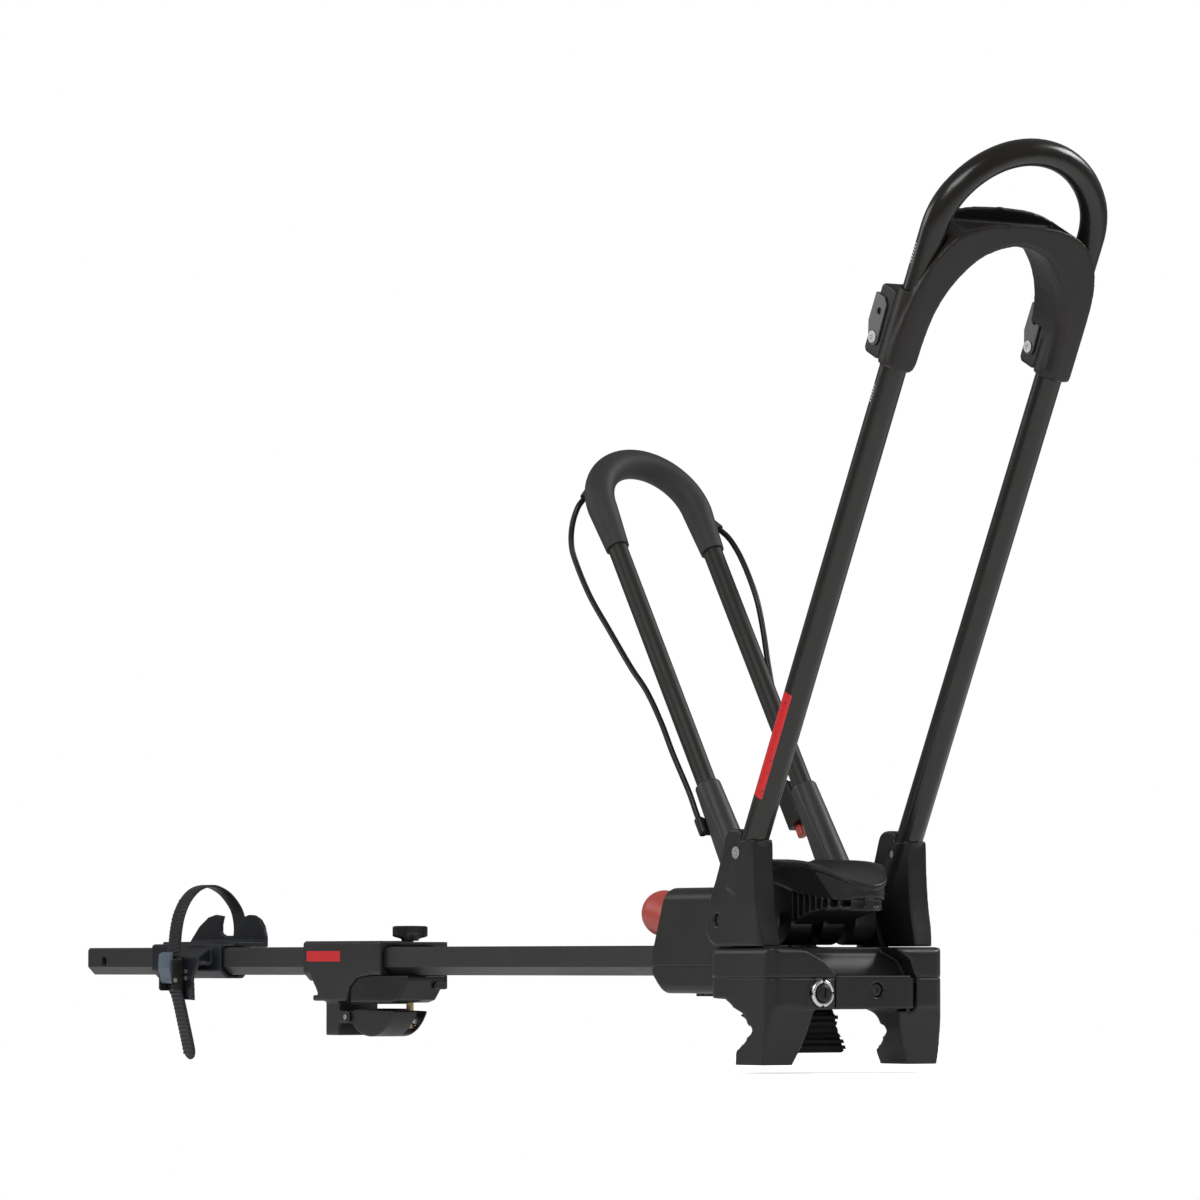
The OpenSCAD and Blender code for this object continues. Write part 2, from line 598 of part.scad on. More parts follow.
module right_leg_bracket() mirror([0, 1, 0]) leg_bracket();
module leg_pins() color([0.8, 0.8, 0.82]) tall_frame() both_sides() {
  translate([pin_off, 0, pin_s]) rod_y(pin_r, bracket_in, pin_head_y + boss_wall);
  translate([pin_off, 0, pin_s]) rod_y(pin_r * 1.5, pin_head_y, pin_head_y + boss_wall);
}

// Tyre saddle: shares of the distance from the hoop's middle to a leg, and of the saddle's height
saddle_s = tall_l - saddle_drop;
saddle_h = 160;
saddle_sleeve = tall_r + 3.2;
saddle_front = 20;
outer_shares = [[1.11, 0], [1.155, 0.02], [1.17, 0.06], [1.165, 0.25], [1.13, 0.5], [1.05, 0.69], [0.92,
    0.83], [0.72, 0.93], [0.4, 0.985],
                [0, 1]];
inner_shares = [[0, 0.84], [0.16, 0.825], [0.38, 0.77], [0.56, 0.67], [0.71, 0.53], [0.8, 0.37], [0.83, 0.19],
                [0.835, 0.05], [0.87, 0.01], [0.91, 0]];
// Where the edges of the front shell step back round the opening: shares of its depth and of its edge radius
saddle_round = 12;
saddle_out = tall_half * 1.17;
front_shares = [[0.58, 0], [0.84, 0.17], [1, 0.45]];
function share_points(list, sign, grow = 0) = [for (p = smooth_route(list, 2))
  let (q = [p[0] * tall_half, p[1] * saddle_h], r = q + unit(q) * grow) [sign * r[0], saddle_s + r[1]]];
function reversed(list) = [for (i = [len(list) - 1:-1:0]) list[i]];
module saddle_outline(grow = 0) polygon(concat(share_points(outer_shares, 1),
  reversed(share_points(outer_shares, -1)), reversed(share_points(inner_shares, -1, grow)),
  share_points(inner_shares, 1, grow)));
module tyre_saddle() color([0.1, 0.09, 0.085]) tall_frame() difference() {
  union() {
    // Front shell
    intersection() {
      for (p = front_shares) along_x(0, p[0] * saddle_front) saddle_outline(p[1] * saddle_round);
      linear_extrude(tall_l * 2) round_rect(-deep, saddle_front, -saddle_out, saddle_out, saddle_round);
    }
    // Deep middle that the tyre leans on, with a dished top
    intersection() {
      along_x(saddle_front - saddle_t, saddle_front * 0.58) saddle_outline();
      block(-deep, deep, -tall_half + tall_r + wall, tall_half - tall_r - wall, 0, tall_l * 2);
    }
    // Sleeves on the legs
    both_sides() translate([0, tall_half, saddle_s]) cylinder(r = saddle_sleeve, h = saddle_h * 0.5);
  }
  both_sides() translate([0, tall_half, 0]) cylinder(r = tall_r + running, h = tall_l * 2);
  // Dished hollow in the top
  along_x(saddle_front - saddle_t + wall * 1.5, saddle_front - wall * 1.5) intersection() {
    translate([0, saddle_s + saddle_h * 0.86]) circle(tall_half * 0.7, $fn = 96);
    translate([-tall_half * 0.8, saddle_s + saddle_h * 0.9]) square([tall_half * 1.6, saddle_h]);
  }
}

// Latches behind the saddle's sleeves
latch_front = -saddle_sleeve + wall * 0.4;
latch_back = -39;
latch_h = 72;
latch_half = 11;
lever_t = 2;
latch_pin_r = 4;
latch_pin_off = -28;
latch_pin_up = 18;
latch_pin_s = saddle_s + latch_pin_up;
latch_top = saddle_s + latch_h - wall * 4;
module latch_blocks() color([0.07, 0.07, 0.07])
  tall_frame() both_sides() translate([0, tall_half, 0]) difference() {
  along_y(-latch_half, latch_half)
    round_rect(latch_back, latch_front + wall, saddle_s, saddle_s + latch_h, wall * 2);
  translate([0, 0, saddle_s - overrun]) cylinder(r = saddle_sleeve, h = latch_h + 2 * overrun);
  translate([latch_pin_off, 0, latch_pin_s]) rod_y(latch_pin_r, -deep, deep);
}
module latch_pins() color([0.8, 0.8, 0.82])
  tall_frame() both_sides() translate([latch_pin_off, tall_half, latch_pin_s]) {
  pin_end = latch_half + lever_t + slide_gap;
  rod_y(latch_pin_r, -pin_end, pin_end);
  for (y = [-pin_end - lever_t / 2, pin_end]) rod_y_at(latch_pin_r * 1.5, y, lever_t / 2);
}
module rod_y_at(r, y, h) rod_y(r, y, y + h);
module latch_lever(side) color([0.3, 0.31, 0.33]) tall_frame() translate([0, side * tall_half,
    0]) difference() {
  inner = latch_half + slide_gap / 2;
  outer = latch_half + lever_t + slide_gap / 2;
  union() {
    for (y = [-outer, inner]) along_y(y, y + lever_t) lever_outline();
    block(latch_back - lever_t - side_gap, latch_back - side_gap, -outer, outer,
        latch_pin_s + latch_pin_r * 3,
          latch_top);
  }
  translate([latch_pin_off, 0, latch_pin_s]) rod_y(latch_pin_r + running, -deep, deep);
  translate([latch_pin_off - wall * 0.6, 0, latch_pin_s + latch_pin_r * 6.6])
    rod_y(latch_pin_r * 0.85, -deep, deep);
}
module lever_outline() {
  translate([latch_pin_off, latch_pin_s]) circle(latch_pin_r * 2);
  back = latch_back - lever_t - side_gap;
  polygon([[latch_pin_off + latch_pin_r * 2, latch_pin_s],
    [latch_pin_off + latch_pin_r * 1.6, latch_top - latch_pin_r * 1.6], [latch_pin_off, latch_top], [back,
        latch_top],
    [back, latch_pin_s + latch_pin_r * 3], [latch_pin_off - latch_pin_r * 2, latch_pin_s]]);
}
module right_latch_lever() latch_lever(-1);
module left_latch_lever() latch_lever(1);

// Short hoop
short_half = short_w / 2;
short_start = 34;
module short_hoop_solid(r, s0, s1) {
  both_sides() translate([0, short_half, s0]) cylinder(r = r, h = s1 - s0);
  translate([0, 0, s1]) rotate([90, 0, 90]) rotate_extrude(angle = 180) translate([short_half, 0]) circle(r);
}
module short_hoop_tube() color([0.1, 0.1, 0.1]) short_frame() difference() {
  short_hoop_solid(short_r, short_start, short_l);
  short_hoop_solid(short_r - tube_wall, short_start - overrun, short_l);
}
grip_drop = 50;
module short_hoop_pad() color([0.14, 0.14, 0.145]) short_frame() difference() {
  union() {
    short_hoop_solid(grip_r, short_l, short_l);
    both_sides() translate([0, short_half, short_l - grip_drop])
      cylinder(r1 = grip_r * 0.8, r2 = grip_r, h = grip_drop);
    for (route = [near_route, far_route]) cable_line(route, clip_r, -wall, 1);
  }
  short_hoop_solid(short_r, 0, short_l);
  for (route = [near_route, far_route]) cable_line(route, cable_r + slide_gap, 0, 2);
}
// Straight cylinder along the first stretch of a run of the cable: the eye on the pad and its bore
module cable_line(route, r, from, part) {
  a = route_points(route)[0];
  v = route_points(route)[1] - a;
  translate(a) rotate([0, acos(v[2] / norm(v)), atan2(v[1], v[0])]) translate([0, 0, from])
    cylinder(r = r, h = part * norm(v) - from);
}
// Leg sleeves of the short hoop, with the hinge bore
sleeve_top = 159;
module hoop_leg() color([0.19, 0.19, 0.2]) difference() {
  intersection() {
    union() {
      short_frame() translate([0, short_half, 0]) cylinder(r1 = sleeve_r * 1.4, r2 = sleeve_r,
          h = sleeve_top);
      at_hinge() rod_y(barrel_r, short_half - sleeve_r, short_half + sleeve_r);
    }
    block(-deep, deep, short_half - sleeve_r, short_half + sleeve_r, 0, deep);
  }
  short_frame() translate([0, short_half, short_start]) cylinder(r = short_r, h = deep);
  at_hinge() rod_y(axle_r + running, 0, base_w);
  cradle_bolt_bores();
}
module left_hoop_leg() hoop_leg();
module right_hoop_leg() mirror([0, 1, 0]) hoop_leg();

// Wheel cradle: the dish between the short hoop's legs, with a ribbed tier below. Its side view is set
// from the hinge.
cradle_l = 117;
cradle_seat = 38;
cradle_half = short_half - sleeve_r;
cradle_rear = 12;
dish_rear_z = 61;
dish_nose_z = 34;
nose_r = 34;
lip_t = 5;
fin_t = 2.5;
barrel_r = 25;
fins = 8;
// Heights along the tier as shares of the cradle's length, with heights as shares of the dish's height
bowl_shares = [[-0.09, 0.66], [0.12, 0.56], [0.34, 0.42], [0.61, 0.34], [0.88, 0.31], [0.97, 0.36]];
arch_shares = [[0.97, 0.13], [0.8, 0.16], [0.63, 0.12], [0.45, 0.06], [0.3, -0.04], [0.26, -0.08]];
rim_shares = [[0.15, 0.993], [0.4, 0.967], [0.58, 0.92], [0.71, 0.85], [0.82, 0.76], [0.92, 0.66]];
function rim_line(drop) = smooth_route(concat([[-cradle_rear, dish_rear_z - drop]],
  [for (p = rim_shares) [p[0] * cradle_l, p[1] * dish_rear_z - drop]], [[cradle_l, dish_nose_z - drop]]), 2);
module dish_side() polygon(concat(rim_line(0), reversed(rim_line(lip_t))));
module bowl_side() polygon(concat(reversed(rim_line(lip_t / 2)), [for (p = bowl_shares) [p[0] * cradle_l,
    p[1] * dish_rear_z]]));
module tier_side() polygon(concat(
  [for (p = bowl_shares) if (p[0] > 0.1) [p[0] * cradle_l, p[1] * dish_rear_z + overrun]],
  [for (p = arch_shares) [p[0] * cradle_l, p[1] * dish_rear_z]]));
module flange_side() polygon(concat([for (p = arch_shares) [p[0] * cradle_l, p[1] * dish_rear_z]],
  reversed([for (p = arch_shares) [p[0] * cradle_l, p[1] * dish_rear_z + wall * 1.3]])));
module cradle_plan(inset) {
  translate([cradle_l - nose_r, 0]) circle(nose_r - inset);
  half = [[-cradle_rear, cradle_half], [cradle_l * 0.3, cradle_half], [cradle_l * 0.62, nose_r * 1.35],
    [cradle_l - nose_r * 0.5, nose_r * 0.87]];
  polygon(concat([for (p = half) [p[0], inset - p[1]]], reversed([for (p = half) [p[0], p[1] - inset]])));
}
module wheel_cradle() color([0.17, 0.17, 0.18]) difference() {
  at_hinge() difference() {
    union() {
      intersection() {
        along_y(-cradle_half, cradle_half) dish_side();
        translate([0, 0, -deep / 2]) linear_extrude(deep) cradle_plan(0);
      }
      intersection() {
        along_y(-cradle_half, cradle_half) bowl_side();
        along_x(-cradle_l, cradle_l * 2) polygon([[-cradle_half, dish_rear_z],
          [-cradle_half * 0.62, dish_nose_z * 0.4], [cradle_half * 0.62, dish_nose_z * 0.4],
          [cradle_half, dish_rear_z]]);
        translate([0, 0, -deep / 2]) linear_extrude(deep) cradle_plan(wall);
      }
      intersection() {
        union() {
          along_y(-fin_t * 2, fin_t * 2) tier_side();
          // Barrel round the sector's hub
          along_y(-cradle_half * 0.72, cradle_half * 0.72) {
            circle(barrel_r);
            translate([-cradle_rear, 0]) square([cradle_l * 0.33, cradle_seat + wall]);
          }
          for (i = [0:fins - 1]) intersection() {
            along_y(-cradle_half * 0.72, cradle_half * 0.72) tier_side();
            translate([cradle_l * (0.3 + 0.085 * i), 0, 0])
              block(-fin_t / 2, fin_t / 2, -cradle_half, cradle_half, -deep, deep);
          }
          along_y(-cradle_half * 0.72, cradle_half * 0.72) flange_side();
        }
        translate([0, 0, -deep / 2]) linear_extrude(deep) cradle_plan(wall * 2);
      }
    }
    // Dished top that the tyre sits in
    translate([0, 0, dish_rear_z + cradle_half * 1.2])
      rotate([0, atan((dish_rear_z - dish_nose_z) / cradle_l * 0.75), 0])
        rod_x(cradle_half * 1.3, -cradle_l, cradle_l * 2);
  }
  cradle_bolt_bores();
  mirror([0, 1, 0]) cradle_bolt_bores();
  at_hinge() {
    along_y(-gear_half, gear_half) tab_outline();
    // Room of the sector and its hub
    rod_y(hub_r + slide_gap, -hub_r - wall - slide_gap, hub_r + wall + slide_gap);
    rod_y(gear_out + side_gap, -gear_half - wall, gear_half + wall);
    rod_y(axle_r + running, -base_w, base_w);
  }
}
// Cross bolts that hold the cradle between the legs
cradle_bolt_r = 3;
module cradle_bolt_bores() at_hinge() translate([0, 0, cradle_seat + 3 * cradle_bolt_r])
  rod_y(cradle_bolt_r, cradle_half * 0.6, short_half + sleeve_r + overrun);
module cradle_bolts() color([0.72, 0.72, 0.74])
  both_sides() at_hinge() translate([0, 0, cradle_seat + 3 * cradle_bolt_r])
    rod_y(cradle_bolt_r, cradle_half * 0.6, short_half + sleeve_r - wall);

// Security cable. Route points: distance up the hoop, place across it, distance behind its plane.
near_route = [[543, -50, 17], [533, -60, 21], [523, -70, 25], [509, -76, 35], [492, -78, 45], [472, -78, 49],
              [426, -78, 47], [375, -78, 37], [322, -78, 26], [285, -78, 16], [245, -78, 12], [205, -78, 12],
              [160, -76, 12], [136, -75, 14], [124, -75, 14], [112, -75, 14]];
far_route = [[491, 73.4, 0], [481, 76.9, -3.6], [467, 78.5, -10], [452, 78, -15], [434, 78, -18], [408, 78,
    -19],
             [379, 78, -17], [348, 78, -9], [318, 77, 0], [292, 75.5, 6], [262, 72.5, 12], [232, 67, 20],
             [210, 62, 26], [192, 60, 28], [166, 60, 28]];
// The heights follow the hoop's legs, from the cable's lower end up to the legs' upper end
route_l = 504;
function route_points(list) = let (low = list[len(list) - 1][0])
  [for (p = list) [-p[2], p[1], p[0] + (short_l - route_l) * min((p[0] - low) / (route_l - low), 1)]];
function smooth_point(a, b, c, d, t) = 0.5 * ((2 * b) + (c - a) * t + (2 * a - 5 * b + 4 * c - d) * t ^ 2
  + (3 * b - a - 3 * c + d) * t ^ 3);
function smooth_route(list, steps) = let (n = len(list)) [for (i = [0:n - 2], k = [0:steps - 1])
  smooth_point(list[max(i - 1, 0)], list[i], list[i + 1], list[min(i + 2, n - 1)], k / steps), list[n - 1]];
function unit(v) = v / norm(v);
function tangent(list, i) = unit(list[min(i + 1, len(list) - 1)] - list[max(i - 1, 0)]);
cable_sides = 8;
module tube_along(list, r) {
  n = len(list);
  rings = [for (i = [0:n - 1]) let (t = tangent(list, i), u = unit(cross(t, [1, 0.2, 0])), v = cross(t, u))
    for (a = [0:360 / cable_sides:359]) list[i] + r * (cos(a) * u + sin(a) * v)];
  polyhedron(rings, concat(
    [[for (k = [cable_sides - 1:-1:0]) k]],
    [for (i = [0:n - 2], k = [0:cable_sides - 1]) [i * cable_sides + k,
        i * cable_sides + (k + 1) % cable_sides,
      (i + 1) * cable_sides + (k + 1) % cable_sides, (i + 1) * cable_sides + k]],
    [[for (k = [0:cable_sides - 1]) (n - 1) * cable_sides + k]]));
}
module security_cable() color([0.06, 0.06, 0.06]) short_frame() {
  tube_along(smooth_route(route_points(near_route), 3), cable_r);
  tube_along(smooth_route(route_points(far_route), 3), cable_r);
}
// Clip that ends the near run of the cable on its sleeve
clip_s = 112;
module cable_clip() color([0.1, 0.1, 0.1]) short_frame() difference() {
  union() {
    translate([-near_end[2], near_end[1], clip_s - wall]) cylinder(r = clip_r, h = clip_h);
    block(-near_end[2] - wall, -near_end[2] + wall, near_end[1], -short_half, clip_s - wall,
          clip_s - wall + clip_h);
  }
  translate([-near_end[2], near_end[1], clip_s]) cylinder(r = cable_r + slide_gap, h = clip_h);
  translate([0, -short_half, 0]) cylinder(r1 = sleeve_r * 1.4, r2 = sleeve_r, h = sleeve_top);
}
near_end = [112, -75, 14];
clip_h = 18;
clip_r = 5.1;
// Lock of the cable behind the far sleeve, with a sliding button in its lower end
lock_off = 28;
lock_top = 176;
lock_h = 46;
lock_socket = 11;
lock_half = 9;
lock_corner = 4;
module cable_lock() color([0.07, 0.07, 0.07]) difference() {
  short_frame() translate([0, short_half, lock_top - lock_h]) difference() {
    linear_extrude(lock_h)
      round_rect(-lock_off - lock_half, -sleeve_r + wall, -lock_half, lock_half, lock_corner);
    translate([-lock_off, 0, -overrun]) cylinder(r = button_r + running, h = lock_h * 0.6);
    translate([-lock_off, 0, lock_h - lock_socket]) cylinder(r = cable_r + slide_gap, h = deep);
  }
  short_frame() translate([0, short_half, 0]) cylinder(r1 = sleeve_r * 1.4, r2 = sleeve_r, h = sleeve_top);
  short_frame() translate([0, short_half, 0]) cylinder(r = sleeve_r, h = deep);
}
button_r = 5;
button_out = 12;
module cable_lock_button() color([0.7, 0.2, 0.18]) short_frame() {
  translate([-lock_off, short_half, lock_top - lock_h - button_out])
    cylinder(r = button_r, h = button_out + lock_h * 0.3);
}

// Clamp lever on the front of the base
lever_right = -28;
lever_plate_t = 8;
lever_back = base_front - lever_plate_t;
lever_z0 = 21.5;
lever_z1 = 54.5;
lever_pin_r = 2.5;
lever_pin_z0 = lever_z0 - wall * 1.2;
cam_z = 38;
cam_h = 14;
cam_top = 12.8;
cam_open = 100;
cam_start = 80;
cam_steps = 20;
lever_hole = [23, 40];
module lever_pin() color([0.75, 0.75, 0.77]) translate([lever_pin_x, lever_pin_y, lever_pin_z0])
  cylinder(r = lever_pin_r, h = seam_z - lever_pin_z0);
module clamp_lever() color([0.17, 0.17, 0.18]) difference() {
  union() {
    along_x(lever_back, base_front) round_rect(lever_right, lever_pin_y, lever_z0, lever_z1, wall * 0.5);
    translate([lever_pin_x, lever_pin_y, lever_z0]) cylinder(r = lever_end_r, h = seam_z - lever_z0);
    translate([lever_pin_x, lever_pin_y, cam_z - cam_h / 2]) linear_extrude(cam_h)
      polygon([for (i = [0:cam_steps]) let (a = cam_start + cam_open * i / cam_steps)
        (lever_end_r + (cam_top - lever_end_r) * i / cam_steps) * [cos(a), sin(a)], [0, -lever_end_r],
        [lever_end_r * 0.5, 0]]);
  }
  translate([lever_pin_x, lever_pin_y, 0]) cylinder(r = lever_pin_r + running, h = deep);
  translate([0, lever_hole[0], lever_hole[1]]) rod_x(hole_r, base_front - wall * 1.6, base_front + overrun);
  // Slot that the lock's cam turns into
  lock_room();
}
hole_r = 7.5;
module lever_screw() color([0.2, 0.2, 0.2]) translate([0, lever_hole[0], lever_hole[1]]) difference() {
  rod_x(hole_r * 0.8, base_front - wall * 1.6, base_front - wall * 0.8);
  rod_x(hole_r * 0.4, base_front - wall * 1.2, base_front, $fn = 6);
}

// Push rod between the lever's cam and the rear jaw
rod_r = 4;
rod_z = 38;
rod_front = lever_pin_x - cam_top - side_gap;
module push_rod() color([0.72, 0.72, 0.74]) translate([0, lever_pin_y, rod_z])
  rod_x(rod_r, jaw_pin_x + jaw_arm_t / 2 + slide_gap, rod_front);

// Rear jaw: hangs on its pin, with an upper arm that the push rod bears on
jaw_pin_x = -30;
jaw_pin_z = 30.5;
jaw_pin_r = 3;
jaw_arm_t = 8;
jaw_pin_y0 = room_right - ear_t;
jaw_pin_y1 = room_left + ear_t;
module jaw_pin() color([0.75, 0.75, 0.77]) translate([jaw_pin_x, 0, jaw_pin_z])
  rod_y(jaw_pin_r, jaw_pin_y0, jaw_pin_y1);
module jaw_side() {
  translate([jaw_pin_x, jaw_pin_z]) circle(jaw_pin_r * 1.7);
  polygon([[jaw_pin_x - jaw_arm_t / 2, jaw_pin_z], [jaw_pin_x - wall * 0.7, -bar_r * 1.6],
    [-bar_r - pad_t, -bar_r * 1.6], [-bar_r - pad_t, bar_r * 1.2], [jaw_pin_x + jaw_arm_t / 2, jaw_pin_z]]);
}
module jaw_front() polygon([[jaw_y - jaw_w * 0.29, jaw_pin_z], [jaw_y - jaw_w * 0.31, bar_r * 0.4],
  [jaw_y - jaw_w * 0.5, -bar_r * 1.6], [jaw_y + jaw_w * 0.5, -bar_r * 1.6], [jaw_y + jaw_w * 0.31,
      bar_r * 0.4],
  [jaw_y + jaw_w * 0.29, jaw_pin_z]]);
module rear_jaw() color([0.13, 0.13, 0.14]) difference() {
  union() {
    intersection() {
      along_y(jaw_y - jaw_w / 2, jaw_y + jaw_w / 2) jaw_side();
      along_x(-deep, deep) union() {
        jaw_front();
        translate([jaw_y - jaw_w * 0.29, jaw_pin_z - wall]) square([jaw_w * 0.58, deep]);
      }
    }
    translate([jaw_pin_x, 0, jaw_pin_z]) rod_y(jaw_pin_r * 1.7, jaw_y - jaw_w * 0.29, room_left - side_gap);
    block(jaw_pin_x - jaw_arm_t / 2, jaw_pin_x + jaw_arm_t / 2, lever_pin_y - rod_r, lever_pin_y + rod_r,
          jaw_pin_z, rod_z + rod_r);
  }
  translate([jaw_pin_x, 0, jaw_pin_z]) rod_y(jaw_pin_r + running, -base_w, base_w);
}
ribs = 6;
module jaw_pad() color([0.06, 0.06, 0.06]) intersection() {
  difference() {
    block(-bar_r - pad_t, -bar_r * 0.72, jaw_y - jaw_w / 2, jaw_y + jaw_w / 2, -bar_r * 1.5, bar_r * 1.1);
    rod_y(bar_r, -base_w, base_w);
    for (i = [0:ribs]) translate([-bar_r, 0, bar_r * 1.1 - i * bar_r * 0.42])
      block(-pad_t * 0.4, bar_r, -base_w, base_w, -bar_r * 0.08, bar_r * 0.08);
  }
  along_x(-deep, deep) jaw_front();
}

// Lock beside the lever
lock_ring_r = 14;
lock_core_r = 9;
lock_cam_t = 3;
lock_cam_in = 2.5;
cam_x0 = lever_back + lock_cam_in;
cam_reach = 22;
module lock_ring() color([0.82, 0.82, 0.84]) translate([0, lock_y, lock_z]) difference() {
  rod_x(lock_ring_r, cam_x0 + lock_cam_t + slide_gap, base_front + wall * 1.5);
  rod_x(lock_core_r + running, -base_front, base_front * 2);
}
module lock_core() color([0.09, 0.09, 0.09]) translate([0, lock_y, lock_z]) difference() {
  union() {
    rod_x(lock_core_r, cam_x0 + lock_cam_t, base_front + wall * 1.8);
    translate([base_front + wall * 1.8, 0, 0]) rotate([0, 90, 0])
      cylinder(r1 = lock_core_r, r2 = lock_core_r * 0.7, h = wall * 0.5);
  }
  block(base_front + wall, base_front * 2, -lock_core_r * 0.12, lock_core_r * 0.12, -lock_core_r * 0.5,
        lock_core_r * 0.5);
}
module lock_cam() color([0.7, 0.7, 0.72]) translate([0, lock_y, lock_z]) {
  rod_x(lock_core_r * 0.8, cam_x0, cam_x0 + lock_cam_t);
  block(cam_x0, cam_x0 + lock_cam_t, -lock_core_r * 0.45, lock_core_r * 0.45, 0, cam_reach - wall / 2);
}

// Rear crossbar clamp: its sleeve slides on the rail
clamp_half = rail_w / 2 + sleeve_wall;
near_x0 = -clamp_x - clamp_l / 2;
near_x1 = -clamp_x + clamp_l / 2;
far_x1 = near_x1 + clamp_l * 0.33;
clamp_top = rail_z + rail_w / 2 + sleeve_wall;
clamp_low = 32;
bolt_x = near_x1 - clamp_l * 0.045;
bolt_y = clamp_half;
far_half = bolt_y + bolt_r * 2.6;
block_z = 24;
module rear_clamp_body() color([0.17, 0.17, 0.18]) difference() {
  union() {
    on_rail(near_x0, near_x1, sleeve_wall);
    // Far wing that carries the bolt
    block(near_x0 + clamp_l * 0.35, far_x1, rail_w / 2 + slide_gap, far_half, clamp_low + sleeve_wall,
          clamp_top - sleeve_wall * 0.2);
    block(near_x1 - clamp_l * 0.2, far_x1, 0, far_half, clamp_top - sleeve_wall + slide_gap,
          clamp_top - sleeve_wall * 0.2);
    // Body tapering down to the hook post
    along_y(-clamp_half, far_half) polygon([[near_x0 + sleeve_wall, rail_z],
      [near_x0 + sleeve_wall * 2.4, rail_z - rail_w * 0.56],
      [near_x0 + clamp_l * 0.16, clamp_low + sleeve_wall * 1.4], [near_x0 + clamp_l * 0.2, clamp_low],
      [near_x0 + clamp_l * 0.13, clamp_low], [near_x0 + clamp_l * 0.13, clamp_low - sleeve_wall],
      [near_x0 + clamp_l * 0.27, clamp_low - sleeve_wall], [near_x0 + clamp_l * 0.56,
          clamp_low - sleeve_wall],
      [near_x0 + clamp_l * 0.6, clamp_low + sleeve_wall * 1.2], [near_x0 + clamp_l * 0.7,
          rail_z - rail_w * 0.6],
      [near_x0 + clamp_l * 0.86, rail_z - rail_w * 0.5], [near_x0 + clamp_l * 0.86, rail_z]]);
    // Hook post
    block(near_x0 + clamp_l * 0.27, near_x0 + clamp_l * 0.44, jaw2_y0 - slide_gap - wall, far_half,
        -bar_r * 0.85,
          clamp_low);
    // Ears round the lower jaw's barrel
    for (y = [jaw2_y0 - slide_gap - wall, jaw2_y1 + slide_gap]) {
      block(near_x0 + clamp_l * 0.4, jaw2_x, y, y + wall - slide_gap, jaw2_z - jaw2_r, jaw2_z + jaw2_r);
      translate([jaw2_x, 0, jaw2_z]) rod_y(jaw2_r * 1.02, y, y + wall - slide_gap);
    }
  }
  on_rail(near_x0 - overrun, far_x1 + overrun, slide_gap);
  rear_block_shape(slide_gap);
  translate([bolt_x, bolt_y, 0]) cylinder(r = bolt_r + running, h = deep);
  jaw_swing(side_gap);
  translate([jaw2_x, 0, jaw2_z]) rod_y(jaw2_pin_r, -base_w, base_w);
}
module rear_block_shape(grow) along_y(-clamp_half + sleeve_wall * 0.3 - grow, far_half - wall + grow)
  polygon([[near_x0 + clamp_l * 0.6 - grow, rail_z - rail_w / 2 - slide_gap],
    [near_x0 + clamp_l * 0.6 - grow, block_z - grow],
    [far_x1 - clamp_l * 0.2, block_z - grow], [far_x1 - clamp_l * 0.12, block_z + wall],
    [far_x1, rail_z - rail_w / 2 - 2 * wall], [far_x1, rail_z - rail_w / 2 - slide_gap]]);
module rear_clamp_block() color([0.12, 0.12, 0.13]) difference() {
  rear_block_shape(0);
  translate([bolt_x, bolt_y, 0]) cylinder(r = bolt_r + running, h = deep);
}
rear_pad_t = 1.5;
module rear_clamp_pad() color([0.06, 0.06, 0.06])
  block(near_x0 + clamp_l * 0.61, bolt_x - bolt_r * 2.4, -clamp_half * 0.8, far_half - wall * 2,
        block_z - rear_pad_t, block_z);
// Lower jaw: a curved boat that hangs on a pin in the hook post
jaw2_x = near_x0 + clamp_l * 0.53;
jaw2_z = 8;
jaw2_r = 7;
jaw2_pin_r = 3;
jaw2_top = 16.5;
jaw2_out = 35;
jaw2_tip = bolt_x + jaw2_out;
jaw2_y0 = -clamp_half * 0.7;
jaw2_y1 = far_half - wall;
module boat_shape(y0, y1) {
  translate([jaw2_x, 0, jaw2_z]) rod_y(jaw2_r, y0, y1);
  along_y(y0, y1) intersection() {
    polygon([[jaw2_x, jaw2_z + jaw2_r * 0.7], [jaw2_x + jaw2_r * 2, jaw2_top], [jaw2_tip,
        jaw2_top - wall * 0.6],
             [jaw2_tip, -2 * bar_r], [jaw2_x, -2 * bar_r]]);
    translate([(jaw2_x + jaw2_tip) / 2 - jaw2_r, jaw2_top + (jaw2_tip - jaw2_x) * 0.24])
      circle((jaw2_tip - jaw2_x) * 0.53, $fn = 96);
  }
}
module jaw_swing(grow) translate([jaw2_x, 0, jaw2_z])
  rod_y(jaw2_r + grow, jaw2_y0 - slide_gap, jaw2_y1 + slide_gap);
module lower_jaw() color([0.18, 0.18, 0.19]) difference() {
  boat_shape(jaw2_y0, jaw2_y1);
  translate([jaw2_x, 0, jaw2_z]) rod_y(jaw2_pin_r + running, -base_w, base_w);
  // Slot for the bolt, open to the front, and the seat of its nut
  block(bolt_x - bolt_r * 1.6, jaw2_tip + overrun, bolt_y - bolt_r * 1.4, bolt_y + bolt_r * 1.4, -bar_r * 2,
        jaw2_top + overrun);
  nut_shape();
}
module nut_shape() translate([bolt_x, 0, nut_z]) rod_y(nut_r, bolt_y - nut_half, bolt_y + nut_half);
nut_r = 7;
nut_half = 9;
nut_z = 6;
module clamp_nut() color([0.8, 0.78, 0.7]) difference() {
  nut_shape();
  translate([bolt_x, bolt_y, -deep / 2]) cylinder(r = bolt_r * 1.35, h = deep);
}
